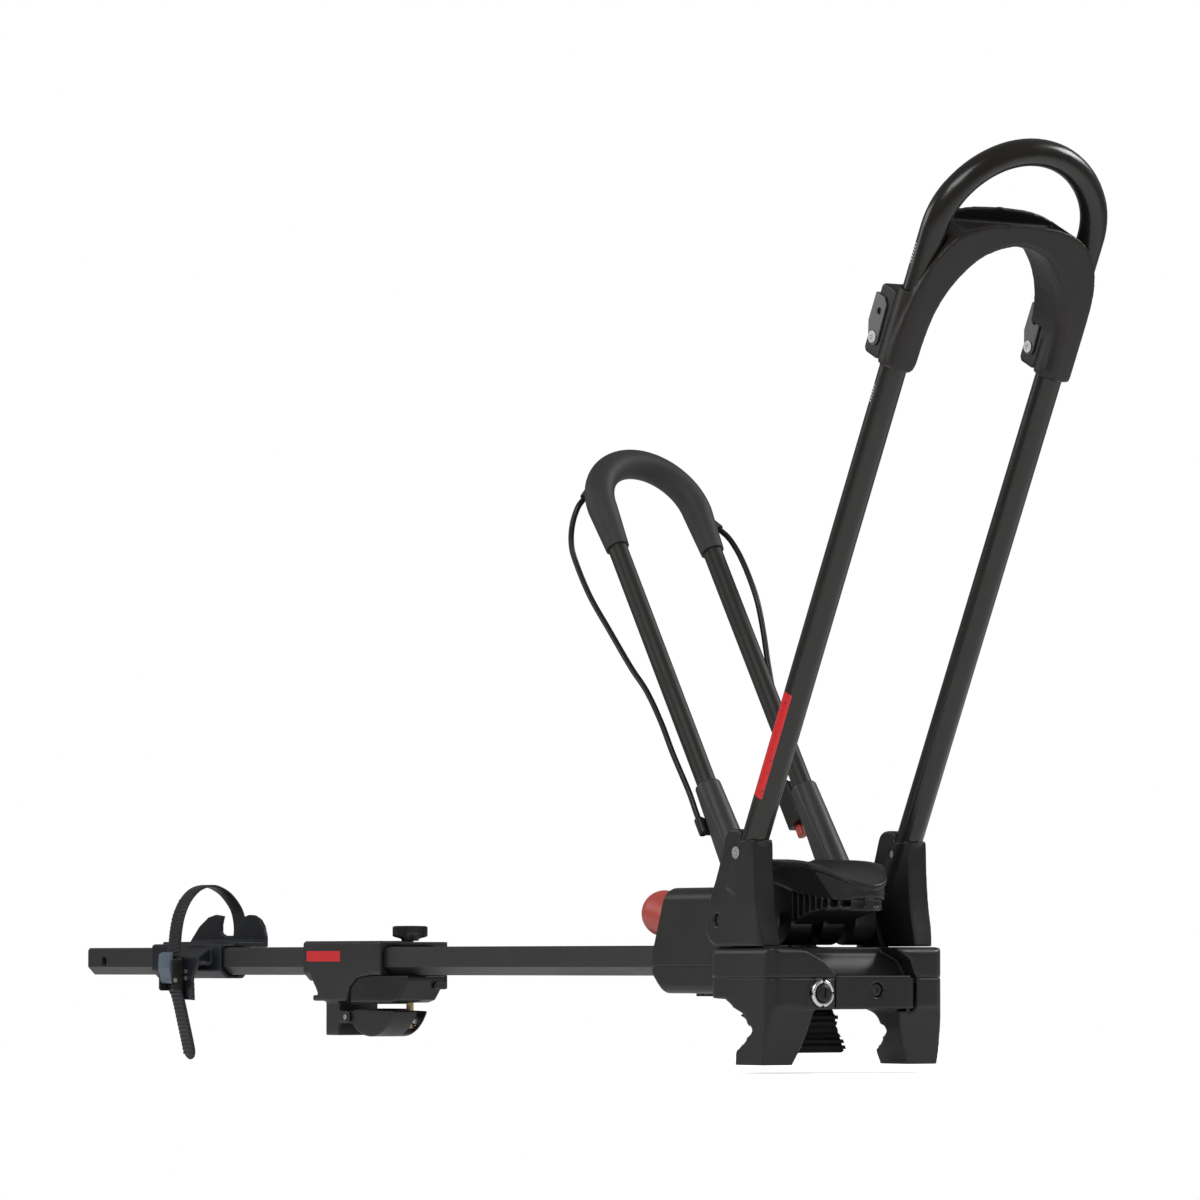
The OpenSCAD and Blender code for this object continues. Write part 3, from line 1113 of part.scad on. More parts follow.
module lower_jaw_pad() color([0.06, 0.06, 0.06]) difference() {
  block(jaw2_x + jaw2_r * 2.4, bolt_x - bolt_r * 3, jaw2_y0 + wall, jaw2_y1 - wall, jaw2_top - wall,
        jaw2_top + rear_pad_t * 0.6);
  boat_shape(-base_w, base_w);
}
module lower_jaw_pin() color([0.72, 0.72, 0.74]) translate([jaw2_x, 0, jaw2_z])
  rod_y(jaw2_pin_r, jaw2_y0 - wall * 1.5, jaw2_y1 + wall * 0.8);
knob2_z = clamp_top;
module clamp_bolt() color([0.78, 0.7, 0.45]) translate([bolt_x, bolt_y, nut_z - nut_r - wall])
  cylinder(r = bolt_r, h = knob2_z + wall * 2 - nut_z + nut_r + wall);
wing_half = 22;
wing_h = 16.5;
module wing_side() polygon(smooth_route([[bolt_r * 2, wall * 0.4], [wing_half * 0.6, wall],
    [wing_half * 0.95, wall * 1.7],
  [wing_half, wall * 2.6], [wing_half, wing_h - wall * 1.2], [wing_half * 0.93, wing_h - wall * 0.2],
  [wing_half * 0.4, wing_h], [-wing_half * 0.4, wing_h], [-wing_half * 0.93, wing_h - wall * 0.2],
  [-wing_half, wing_h - wall * 1.2], [-wing_half, wall * 2.6], [-wing_half * 0.95, wall * 1.7],
  [-wing_half * 0.6, wall], [-bolt_r * 2, wall * 0.4]], 2));
module wing_knob() color([0.1, 0.1, 0.1]) translate([bolt_x, bolt_y, knob2_z]) difference() {
  union() {
    cylinder(r = bolt_r * 2.4, h = wall * 2.4);
    intersection() {
      along_x(-wall * 1.7, wall * 1.7) wing_side();
      linear_extrude(deep) union() {
        for (side = [-1, 1]) translate([0, side * (wing_half - wall * 1.7)]) circle(wall * 1.7);
        square([wall * 2.4, 2 * (wing_half - wall * 1.7)], center = true);
        circle(bolt_r * 2.4);
      }
    }
  }
  translate([0, 0, -overrun]) cylinder(r = bolt_r, h = wall * 2 + overrun);
}

// Wheel tray: its sleeve slides on the rail
tray_x0 = -tray_x - tray_l / 2;
tray_x1 = -tray_x + tray_l / 2;
tray_wall = 4;
tray_half = rail_w / 2 + tray_wall;
strap_x = -1194.5;
fin_y = 40;
// Fin: shares of the tray's length from its front end, and of the fin's height over the sleeve
fin_h = 34;
fin_shares = [[1.09, 0.05], [1.09, 0.1], [0.96, 0.6], [0.83, 0.91], [0.72, 1], [0.61, 0.95], [0.64, 0.64],
              [0.64, 0.38], [0.58, 0.29], [0.45, 0.29], [0.38, 0.7], [0.33, 0.9], [0.25, 0.98], [0.17, 0.97],
              [0.09, 0.84], [0.03, 0.58], [0, 0.25], [0, 0.05]];
module fin_outline() polygon([for (p = fin_shares) [tray_x1 - p[0] * tray_l, tray_z + p[1] * fin_h]]);
tray_z = rail_z + rail_w / 2 + tray_wall;
skirt_half = 36;
module skirt_side() polygon([[strap_x - skirt_half, tray_z - tray_wall],
  [strap_x - skirt_half * 1.1, rail_z - rail_w / 2],
  [strap_x - skirt_half * 0.6, drive_floor - tray_wall], [strap_x - skirt_half * 0.3,
      claw_drop - 2 * tray_wall],
  [strap_x + skirt_half * 0.75, claw_drop - 2.2 * tray_wall], [strap_x + skirt_half * 0.9,
      rail_z - rail_w * 0.6],
  [strap_x + skirt_half * 1.3, rail_z], [strap_x + skirt_half * 1.3, tray_z - tray_wall]]);
module skirt_front() polygon([[-tray_half + wall, tray_z], [-tray_half, tray_z - tray_wall],
  [-skirt_y, rail_z + tray_wall], [-skirt_y, rail_z - rail_w * 0.6], [-skirt_y + tray_wall * 1.5,
      claw_drop - 3 * tray_wall],
  [-skirt_y + tray_wall * 2.3, claw_drop - 3 * tray_wall], [-skirt_y + tray_wall, rail_z - rail_w * 0.6],
  [-skirt_y + tray_wall, rail_z], [-tray_half + tray_wall, rail_z - tray_wall]]);
skirt_y = 37;
module wheel_tray() color([0.15, 0.15, 0.17]) difference() {
  union() {
    on_rail(tray_x0, tray_x1, tray_wall);
    along_y(fin_y, fin_y + tray_wall) fin_outline();
    block(tray_x1 - tray_l * 1.05, tray_x1, 0, fin_y + tray_wall, tray_z - tray_wall + slide_gap,
          tray_z + fin_h * 0.08);
    intersection() {
      along_y(-deep, 0) skirt_side();
      along_x(-rail_rear, 0) skirt_front();
    }
  }
  on_rail(tray_x0 - tray_l, tray_x1 + tray_l, slide_gap);
}
// Ladder strap: middle line across and up, from the tray's fin over the wheel rim and down through the buckle
strap_route = [[46, 94], [47, 108], [44, 124], [37, 136], [26, 147], [12, 154], [0, 155], [-14, 150], [-26,
    138],
               [-34, 122], [-38, 105], [-40, 88], [-42.5, 74], [-43, 60], [-41.5, 46], [-37, 33], [-33, 20],
               [-28, 0], [-22, -24], [-18, -42]];
function strap_normal(list, i) = let (t = tangent(list, i)) [-t[1], t[0]];
module strap_outline() {
  line = smooth_route(strap_route, 2);
  polygon(concat([for (i = [0:len(line) - 1]) line[i] + strap_normal(line, i) * strap_t / 2],
    reversed([for (i = [0:len(line) - 1]) line[i] - strap_normal(line, i) * strap_t / 2])));
}
module ladder_strap() color([0.13, 0.13, 0.16])
  along_x(strap_x - strap_w / 2, strap_x + strap_w / 2) strap_outline();
// Buckle on the tray's skirt: a channel round the strap with a lever over it
buckle_z = 58;
buckle_h = 44;
buckle_out = 52;
cheek = 2.5;
buckle_pin_drop = 10;
buckle_pin_z = buckle_z - buckle_pin_drop;
buckle_pin_r = 2.5;
module buckle_base() color([0.12, 0.12, 0.15]) difference() {
  for (side = [-1, 1]) translate([strap_x + side * (strap_w / 2 + cheek / 2 + slide_gap), 0, 0])
    along_x(-cheek / 2, cheek / 2)
      round_rect(-buckle_out, -skirt_y, buckle_z - buckle_h / 2, buckle_z + buckle_h / 3, wall);
  translate([0, -buckle_out + buckle_pin_r * 1.6, buckle_pin_z]) rod_x(buckle_pin_r, -rail_rear, 0);
}
module buckle_pin() color([0.75, 0.75, 0.77]) translate([0, -buckle_out + buckle_pin_r * 1.6, buckle_pin_z])
  rod_x(buckle_pin_r, strap_x - strap_w / 2 - cheek - slide_gap, strap_x + strap_w / 2 + cheek + slide_gap);
module buckle_screws() color([0.75, 0.75, 0.77]) for (z = [0, 1])
  translate([strap_x + strap_w / 2 + cheek * 3, -skirt_y, buckle_z - z * cheek * 3])
    rod_y(cheek, -cheek * 0.6, 0);
module buckle_lever() color([0.42, 0.48, 0.53]) difference() {
  union() {
    translate([0, -buckle_out + buckle_pin_r * 1.6, buckle_pin_z])
      rod_x(buckle_pin_r * 1.5, strap_x - strap_w / 2 + slide_gap, strap_x + strap_w / 2 - slide_gap);
    along_x(strap_x - strap_w / 2 + slide_gap, strap_x + strap_w / 2 - slide_gap)
      polygon([[-buckle_out + buckle_pin_r * 0.2, buckle_pin_z], [-buckle_out - wall,
          buckle_z + buckle_h * 0.1],
        [-buckle_out - wall * 0.6, buckle_z + buckle_h * 0.44],
        [-buckle_out + wall * 0.8, buckle_z + buckle_h * 0.5],
        [-buckle_out + wall, buckle_z + buckle_h * 0.1], [-buckle_out + buckle_pin_r * 3, buckle_pin_z]]);
  }
  translate([0, -buckle_out + buckle_pin_r * 1.6, buckle_pin_z]) rod_x(buckle_pin_r + running, -rail_rear, 0);
}

rail();
rail_end_cap();
rail_bolts();
base_body();
base_cover();
base_screws();
drive_cover();
claw_pads();
hinge_axle();
axle_washers();
worm_bearings();
lock_ring();
lever_pin();
jaw_pin();
tall_hoop_tube();
right_leg_bracket();
left_leg_bracket();
leg_pins();
tyre_saddle();
latch_blocks();
latch_pins();
right_latch_lever();
left_latch_lever();
short_hoop_tube();
short_hoop_pad();
right_hoop_leg();
left_hoop_leg();
wheel_cradle();
sector_gear();
cradle_bolts();
security_cable();
cable_clip();
cable_lock();
cable_lock_button();
adjusting_knob();
worm_shaft();
worm();
clamp_lever();
lever_screw();
push_rod();
rear_jaw();
jaw_pad();
lock_core();
lock_cam();
rear_clamp_body();
rear_clamp_block();
rear_clamp_pad();
lower_jaw();
lower_jaw_pad();
lower_jaw_pin();
clamp_nut();
clamp_bolt();
wing_knob();
wheel_tray();
ladder_strap();
buckle_base();
buckle_screws();
buckle_lever();
buckle_pin();
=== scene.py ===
"""Roof mounted bike carrier: finishes, detailed pieces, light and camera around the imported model."""

import json
import math

import bmesh
import bpy
from mathutils import Matrix, Vector


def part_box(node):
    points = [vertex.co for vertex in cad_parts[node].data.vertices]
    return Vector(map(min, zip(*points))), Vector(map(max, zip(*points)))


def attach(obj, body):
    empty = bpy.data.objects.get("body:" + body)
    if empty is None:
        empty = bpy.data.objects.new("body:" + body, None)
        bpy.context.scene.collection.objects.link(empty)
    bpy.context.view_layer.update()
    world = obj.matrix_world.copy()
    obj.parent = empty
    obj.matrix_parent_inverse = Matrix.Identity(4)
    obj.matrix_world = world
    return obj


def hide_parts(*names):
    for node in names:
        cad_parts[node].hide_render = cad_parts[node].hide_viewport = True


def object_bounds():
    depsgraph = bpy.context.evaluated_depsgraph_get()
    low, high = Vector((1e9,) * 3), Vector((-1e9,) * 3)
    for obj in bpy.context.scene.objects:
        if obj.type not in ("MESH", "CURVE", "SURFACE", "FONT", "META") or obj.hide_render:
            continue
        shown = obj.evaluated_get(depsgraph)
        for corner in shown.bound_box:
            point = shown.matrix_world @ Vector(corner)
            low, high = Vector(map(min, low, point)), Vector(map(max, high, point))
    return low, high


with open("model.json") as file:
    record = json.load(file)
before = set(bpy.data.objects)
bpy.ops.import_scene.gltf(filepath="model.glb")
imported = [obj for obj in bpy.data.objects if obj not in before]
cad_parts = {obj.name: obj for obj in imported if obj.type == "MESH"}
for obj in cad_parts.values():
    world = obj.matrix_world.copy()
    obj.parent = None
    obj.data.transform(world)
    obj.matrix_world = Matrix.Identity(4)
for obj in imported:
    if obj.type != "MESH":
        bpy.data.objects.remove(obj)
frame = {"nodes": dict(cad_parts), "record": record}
nodes = frame["nodes"]
record = frame["record"]
cad_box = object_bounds()
body_of = {node: body for body, names in record["behaviour"]["bodies"].items() for node in names}


def middle_of(node):
    """The middle of a CAD node's box."""
    low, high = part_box(node)
    return (low + high) / 2


# Places of the carrier that the pieces below share, in metres
HINGE = middle_of("hinge_axle")
TALL_LEAN = math.radians(26.9)
TALL_OFFSET = 0.00785
TALL_HALF = 0.0955
SHORT_LEAN = math.radians(-32.8)
SHORT_OFFSET = 0.0049
CABLE_R = 0.003
STRAP_X = middle_of("ladder_strap").x
STRAP_WIDTH = 2 * (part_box("ladder_strap")[1].x - STRAP_X)
STRAP_THICK = 0.0024

# Plain prints: the rear clamp's label, the tall hoop's band and its groups of height marks, in metres
LABEL_X = (-0.941, -0.872)
LABEL_Z = (0.0690, 0.0805)
LABEL_FACE_Y = -0.0212
LABEL_RED = (0.58, 0.012, 0.018)
BAND_UP = (0.140, 0.253)
BAND_HALF = 0.0080
BAND_OUT = 0.0078
BAND_BEHIND = 0.001
BAND_RED = (0.62, 0.012, 0.016)
MARKS_UP = (0.572, 0.634, 0.719)
MARKS_HALF = 0.0105
MARKS_WIDE = 0.0034
MARKS_OUT = 0.0070
MARKS_BEHIND = 0.006
MARKS_PER_METRE = 310.0
MARKS_GAP_SHARE = 0.55
MARKS_WHITE = (0.66, 0.67, 0.70)

# The photograph's camera: its distance, the way to its right, the way back to it, and what it looks at
CAMERA_AWAY = 7.0
CAMERA_SIDE = Vector((0.5664, 0.8241, 0.0))
CAMERA_BACK = Vector((0.8241, -0.5664, 0.0))
CAMERA_SHIFT = 0.2318
CAMERA_LEVEL = Vector((0.0105, 0.0, 0.064))
CAMERA_RISE = 0.366


def in_tall_hoop(x, y, up):
    """A point of the tall hoop's own frame, in the carrier's frame."""
    return HINGE + Matrix.Rotation(TALL_LEAN, 3, "Y") @ Vector((x + TALL_OFFSET, y, up))


def in_short_hoop(x, y, up):
    """A point of the short hoop's own frame, in the carrier's frame."""
    return HINGE + Matrix.Rotation(SHORT_LEAN, 3, "Y") @ Vector((x + SHORT_OFFSET, y, up))


def smooth_line(points, steps):
    """Points along a smooth curve through the given ones."""
    out = []
    last = len(points) - 1
    for i in range(last):
        a, b = points[max(i - 1, 0)], points[i]
        c, d = points[i + 1], points[min(i + 2, last)]
        for k in range(steps):
            t = k / steps
            out.append(0.5 * ((2 * b) + (c - a) * t + (2 * a - 5 * b + 4 * c - d) * t ** 2
                              + (3 * b - a - 3 * c + d) * t ** 3))
    out.append(points[last])
    return out


# Camera

def make_camera():
    """The photograph's view: from the car's front right, low and far away."""
    camera = bpy.data.cameras.new("photo_camera")
    camera.lens = 210.0
    camera.sensor_width = 36.0
    camera.clip_end = 60.0
    holder = bpy.data.objects.new("photo_camera", camera)
    bpy.context.scene.collection.objects.link(holder)
    holder.location = CAMERA_BACK * CAMERA_AWAY - CAMERA_SIDE * CAMERA_SHIFT + CAMERA_LEVEL
    pitch = math.atan(CAMERA_RISE / CAMERA_AWAY)
    view = -CAMERA_BACK * math.cos(pitch) + Vector((0, 0, 1)) * math.sin(pitch)
    holder.rotation_euler = view.to_track_quat("-Z", "Y").to_euler()
    bpy.context.scene.camera = holder


make_camera()


# Shader node groups

class Tree:
    """Short way to add and join nodes."""

    def __init__(self, tree):
        self.tree = tree

    def add(self, kind, inputs=None, **settings):
        node = self.tree.nodes.new(kind)
        for name, value in settings.items():
            setattr(node, name, value)
        for socket, value in (inputs or {}).items():
            if isinstance(value, bpy.types.NodeSocket):
                self.tree.links.new(value, node.inputs[socket])
            else:
                node.inputs[socket].default_value = value
        return node

    def math(self, operation, a, b=0.0, clamp=False):
        return self.add("ShaderNodeMath", {0: a, 1: b}, operation=operation, use_clamp=clamp).outputs[0]

    def near(self, value, middle, reach):
        """1 where a value lies within reach of the middle, 0 elsewhere."""
        return self.math("LESS_THAN", self.math("ABSOLUTE", self.math("SUBTRACT", value, middle)), reach)

    def ramp(self, value, low, high, to_low=0.0, to_high=1.0):
        node = self.add("ShaderNodeMapRange", {"Value": value, "From Min": low, "From Max": high,
                                               "To Min": to_low, "To Max": to_high})
        return node.outputs["Result"]

    def mix(self, fac, a, b):
        node = self.add("ShaderNodeMix", data_type="RGBA")
        for socket, value in ((0, fac), (6, a), (7, b)):
            if isinstance(value, bpy.types.NodeSocket):
                self.tree.links.new(value, node.inputs[socket])
            else:
                node.inputs[socket].default_value = value
        return node.outputs[2]


def new_group(name, inputs, outputs):
    """A shader node group with its named inputs and outputs."""
    group = bpy.data.node_groups.new(name, "ShaderNodeTree")
    for label, default in inputs:
        kind = "NodeSocketVector" if default is None else "NodeSocketFloat"
        socket = group.interface.new_socket(label, in_out="INPUT", socket_type=kind)
        if default is not None:
            socket.default_value = default
    for label, kind in outputs:
        group.interface.new_socket(label, in_out="OUTPUT", socket_type=kind)
    t = Tree(group)
    return t, t.add("NodeGroupInput"), t.add("NodeGroupOutput")


def put_out(t, leave, **values):
    """Joins a group's results to its output and gives the finished tree."""
    for label, socket in values.items():
        t.tree.links.new(socket, leave.inputs[label.replace("_", " ")])
    return t.tree


def soft_edges_group():
    """Rounds a moulding's edges in its normal and finds where hands and straps rub them."""
    t, enter, leave = new_group("soft_edges", [("Radius", 0.001), ("Breakup", 60.0)],
                                [("Normal", "NodeSocketVector"), ("Rubbed", "NodeSocketFloat")])
    place = t.add("ShaderNodeTexCoord").outputs["Object"]
    bevel = t.add("ShaderNodeBevel", {"Radius": enter.outputs["Radius"]}, samples=6)
    flat = t.add("ShaderNodeNewGeometry").outputs["Normal"]
    turn = t.add("ShaderNodeVectorMath", {0: bevel.outputs["Normal"], 1: flat}, operation="DOT_PRODUCT")
    edge = t.ramp(turn.outputs["Value"], 0.985, 0.80)
    noise = t.add("ShaderNodeTexNoise", {"Vector": place, "Scale": enter.outputs["Breakup"], "Detail": 3.0})
    patch = t.ramp(noise.outputs["Fac"], 0.42, 0.66)
    return put_out(t, leave, Normal=bevel.outputs["Normal"], Rubbed=t.math("MULTIPLY", edge, patch, True))


def fine_grain_group():
    """Spark-eroded grain of a moulding tool, or the pores of rubber."""
    t, enter, leave = new_group("fine_grain", [("Scale", 1800.0), ("Coarse", 0.35)],
                                [("Height", "NodeSocketFloat"), ("Tone", "NodeSocketFloat")])
    place = t.add("ShaderNodeTexCoord").outputs["Object"]
    fine = t.add("ShaderNodeTexNoise", {"Vector": place, "Scale": enter.outputs["Scale"], "Detail": 2.0})
    cell_scale = t.math("MULTIPLY", enter.outputs["Scale"], 0.55)
    cells = t.add("ShaderNodeTexVoronoi", {"Vector": place, "Scale": cell_scale})
    coarse = t.math("MULTIPLY", cells.outputs["Distance"], enter.outputs["Coarse"])
    height = t.math("ADD", fine.outputs["Fac"], coarse)
    slow = t.add("ShaderNodeTexNoise", {"Vector": place, "Scale": 14.0, "Detail": 3.0, "Roughness": 0.55})
    return put_out(t, leave, Height=height, Tone=t.ramp(slow.outputs["Fac"], 0.3, 0.7))


def handling_group():
    """Faint smears where hands go, and dust that settles on what faces up."""
    t, enter, leave = new_group("handling", [("Smear", 1.0), ("Dust", 1.0)],
                                [("Smear", "NodeSocketFloat"), ("Dust", "NodeSocketFloat")])
    place = t.add("ShaderNodeTexCoord").outputs["Object"]
    stretch = t.add("ShaderNodeMapping", {"Vector": place, "Scale": (9.0, 26.0, 17.0)}).outputs["Vector"]
    smear = t.add("ShaderNodeTexNoise", {"Vector": stretch, "Scale": 1.6, "Detail": 4.0, "Distortion": 0.6})
    smears = t.math("MULTIPLY", t.ramp(smear.outputs["Fac"], 0.45, 0.72), enter.outputs["Smear"])
    up = t.add("ShaderNodeSeparateXYZ", {0: t.add("ShaderNodeNewGeometry").outputs["Normal"]}).outputs["Z"]
    speck = t.add("ShaderNodeTexNoise", {"Vector": place, "Scale": 340.0, "Detail": 4.0})
    settled = t.math("MULTIPLY", t.ramp(up, 0.35, 1.0), t.ramp(speck.outputs["Fac"], 0.40, 0.75), True)
    return put_out(t, leave, Smear=smears, Dust=t.math("MULTIPLY", settled, enter.outputs["Dust"]))


def drawn_lines_group():
    """Long faint lines of drawn, extruded or turned metal, along one axis."""
    t, enter, leave = new_group("drawn_lines", [("Vector", None), ("Across", 900.0), ("Along", 6.0)],
                                [("Height", "NodeSocketFloat"), ("Tone", "NodeSocketFloat")])
    squeeze = t.add("ShaderNodeCombineXYZ", {0: enter.outputs["Along"], 1: enter.outputs["Across"],
                                             2: enter.outputs["Across"]})
    long_way = t.add("ShaderNodeVectorMath", {0: enter.outputs["Vector"], 1: squeeze.outputs[0]},
                     operation="MULTIPLY")
    lines = t.add("ShaderNodeTexNoise", {"Vector": long_way.outputs[0], "Scale": 1.0, "Detail": 3.0})
    return put_out(t, leave, Height=lines.outputs["Fac"], Tone=t.ramp(lines.outputs["Fac"], 0.35, 0.65))


GROUPS = {"soft_edges": soft_edges_group(), "fine_grain": fine_grain_group(), "handling": handling_group(),
          "drawn_lines": drawn_lines_group()}


def use_group(t, name, **inputs):
    """Puts a group into a material with its own values and gives its outputs."""
    node = t.add("ShaderNodeGroup")
    node.node_tree = GROUPS[name]
    for label, value in inputs.items():
        if isinstance(value, bpy.types.NodeSocket):
            t.tree.links.new(value, node.inputs[label])
        else:
            node.inputs[label].default_value = value
    return node.outputs


# Finishes

def rgba(r, g, b):
    return (r, g, b, 1.0)


def start_material(name):
    """A new material with a Principled shader on its surface."""
    material = bpy.data.materials.new(name)
    material.use_nodes = True
    material.node_tree.nodes.clear()
    t = Tree(material.node_tree)
    shader = t.add("ShaderNodeBsdfPrincipled")
    t.tree.links.new(shader.outputs[0], t.add("ShaderNodeOutputMaterial").inputs["Surface"])
    return material, t, shader


def join(t, shader, **sockets):
    """Sets or links a shader's sockets by name."""
    for label, value in sockets.items():
        socket = shader.inputs[label.replace("_", " ")]
        if isinstance(value, bpy.types.NodeSocket):
            t.tree.links.new(value, socket)
        else:
            socket.default_value = value


DUST_COLOUR = rgba(0.30, 0.28, 0.25)


def shade(colour, share):
    """A colour made darker or lighter by a share."""
    return rgba(*(c * share for c in colour))


def moulding(name, colour, rubbed, roughness, grain=1800.0, grain_depth=0.00003, radius=0.0012, gloss=0.35,
             dust=0.35):
    """Moulded nylon or rubber: grained, edges softened and a little rubbed, dust on top."""
    material, t, shader = start_material(name)
    edges = use_group(t, "soft_edges", Radius=radius)
    grains = use_group(t, "fine_grain", Scale=grain)
    marks = use_group(t, "handling", Smear=1.0, Dust=dust)
    body = t.mix(grains["Tone"], shade(colour, 0.82), shade(colour, 1.12))
    body = t.mix(t.math("MULTIPLY", edges["Rubbed"], 0.55), body, rgba(*rubbed))
    body = t.mix(t.math("MULTIPLY", marks["Dust"], 0.16), body, DUST_COLOUR)
    rough = t.math("ADD", t.math("MULTIPLY", grains["Tone"], 0.08), roughness - 0.04)
    rough = t.math("SUBTRACT", rough, t.math("MULTIPLY", marks["Smear"], 0.09), True)
    bump = t.add("ShaderNodeBump", {"Height": grains["Height"], "Normal": edges["Normal"], "Strength": 0.5,
                                    "Distance": grain_depth})
    join(t, shader, Base_Color=body, Roughness=rough, Normal=bump.outputs[0], Specular_IOR_Level=gloss)
    return material


def coated_tube(name, colour, roughness, along, gloss=0.5, radius=0.0):
    """Black coating over drawn tube that leans along: faint lengthwise lines, smears and a little dust."""
    material, t, shader = start_material(name)
    place = t.add("ShaderNodeTexCoord").outputs["Object"]
    turned = t.add("ShaderNodeMapping", {"Vector": place, "Rotation": (0.0, along, 0.0)},
                   vector_type="TEXTURE")
    lines = use_group(t, "drawn_lines", Vector=turned.outputs["Vector"])
    marks = use_group(t, "handling", Smear=1.0, Dust=0.5)
    body = t.mix(lines["Tone"], shade(colour, 0.94), shade(colour, 1.05))
    body = t.mix(t.math("MULTIPLY", marks["Dust"], 0.05), body, rgba(0.28, 0.26, 0.24))
    rough = t.math("ADD", t.math("MULTIPLY", marks["Smear"], 0.08), roughness, True)
    bump = t.add("ShaderNodeBump", {"Height": lines["Height"], "Strength": 0.03, "Distance": 0.00001})
    if radius:
        edges = use_group(t, "soft_edges", Radius=radius)
        t.tree.links.new(edges["Normal"], bump.inputs["Normal"])
    join(t, shader, Base_Color=body, Roughness=rough, Normal=bump.outputs[0], Specular_IOR_Level=gloss)
    return material, t, body, shader


def bare_metal(name, colour, roughness, dark=(0.2, 0.19, 0.18), across=1400.0):
    """Plated or turned metal: fine lines, darker in patches where hands smear it."""
    material, t, shader = start_material(name)
    place = t.add("ShaderNodeTexCoord").outputs["Object"]
    lines = use_group(t, "drawn_lines", Vector=place, Across=across, Along=40.0)
    edges = use_group(t, "soft_edges", Radius=0.0004)
    marks = use_group(t, "handling", Smear=1.0, Dust=0.3)
    body = t.mix(lines["Tone"], shade(colour, 0.9), rgba(*colour))
    body = t.mix(t.math("MULTIPLY", marks["Smear"], 0.25), body, rgba(*dark))
    rough = t.math("ADD", t.math("MULTIPLY", lines["Tone"], 0.08), roughness, True)
    bump = t.add("ShaderNodeBump", {"Height": lines["Height"], "Normal": edges["Normal"], "Strength": 0.3,
                                    "Distance": 0.00002})
    join(t, shader, Base_Color=body, Roughness=rough, Normal=bump.outputs[0], Metallic=1.0)
    return material


dark_moulding = moulding("dark_moulding", (0.0110, 0.0110, 0.0104), (0.042, 0.042, 0.041), 0.40,
                         gloss=0.40)
black_moulding = moulding("black_moulding", (0.010, 0.0094, 0.0086), (0.04, 0.038, 0.036), 0.40,
                          grain=2200.0, grain_depth=0.00002, gloss=0.33)
block_moulding = moulding("block_moulding", (0.007, 0.0068, 0.0066), (0.02, 0.02, 0.02), 0.36, gloss=0.35)
saddle_moulding = moulding("saddle_moulding", (0.0170, 0.0150, 0.0138), (0.045, 0.042, 0.040), 0.42,
                           gloss=0.36)
grey_sleeve = moulding("grey_sleeve", (0.030, 0.031, 0.032), (0.065, 0.065, 0.065), 0.42, gloss=0.40)
soft_grip = moulding("soft_grip", (0.034, 0.034, 0.036), (0.05, 0.05, 0.05), 0.60, grain=900.0,
                     grain_depth=0.00008, radius=0.002, gloss=0.3)
clamp_rubber = moulding("clamp_rubber", (0.012, 0.012, 0.012), (0.03, 0.03, 0.03), 0.72, grain=1200.0,
                        grain_depth=0.00006, gloss=0.25)
tray_moulding = moulding("tray_moulding", (0.0060, 0.0076, 0.0118), (0.035, 0.039, 0.050), 0.40,
                         gloss=0.38)
strap_rubber = moulding("strap_rubber", (0.0115, 0.0120, 0.0150), (0.035, 0.035, 0.04), 0.46, grain=1500.0,
                        grain_depth=0.00003, radius=0.0006, gloss=0.4)
cable_cover = moulding("cable_cover", (0.010, 0.010, 0.0105), (0.014, 0.014, 0.014), 0.38, grain=2600.0,
                       grain_depth=0.000003, radius=0.0004, gloss=0.35, dust=0.05)
red_plastic = moulding("red_plastic", (0.43, 0.060, 0.045), (0.52, 0.16, 0.13), 0.42, grain=1500.0,
                       gloss=0.4, dust=0.2)
buckle_blue = moulding("buckle_blue", (0.085, 0.115, 0.150), (0.17, 0.20, 0.24), 0.40, gloss=0.45)
latch_plate = moulding("latch_plate", (0.095, 0.098, 0.100), (0.20, 0.20, 0.20), 0.38, grain=1400.0,
                       grain_depth=0.00001, radius=0.0008, gloss=0.5)
rail_coating = coated_tube("rail_coating", (0.020, 0.020, 0.0195), 0.34, 0.0, radius=0.0006)[0]
short_tube_coating = coated_tube("short_tube_coating", (0.0125, 0.0115, 0.0098), 0.46,
                                 math.pi / 2 + SHORT_LEAN, gloss=0.40)[0]
zinc_steel = bare_metal("zinc_steel", (0.55, 0.55, 0.56), 0.34)
bright_plate = bare_metal("bright_plate", (0.80, 0.80, 0.81), 0.22)
brass_plate = bare_metal("brass_plate", (0.50, 0.40, 0.22), 0.36)
bearing_bronze = bare_metal("bearing_bronze", (0.30, 0.24, 0.15), 0.46, across=700.0)
# Dark steel for bolts, screws, pins and the axle. The sector gear and the worm also take it instead of
# bronze, so part of their darkness is painted shade in the gap under the cradle.
dark_steel_and_shade = bare_metal("dark_steel_and_shade", (0.075, 0.073, 0.070), 0.42, dark=(0.03, 0.03, 0.03))


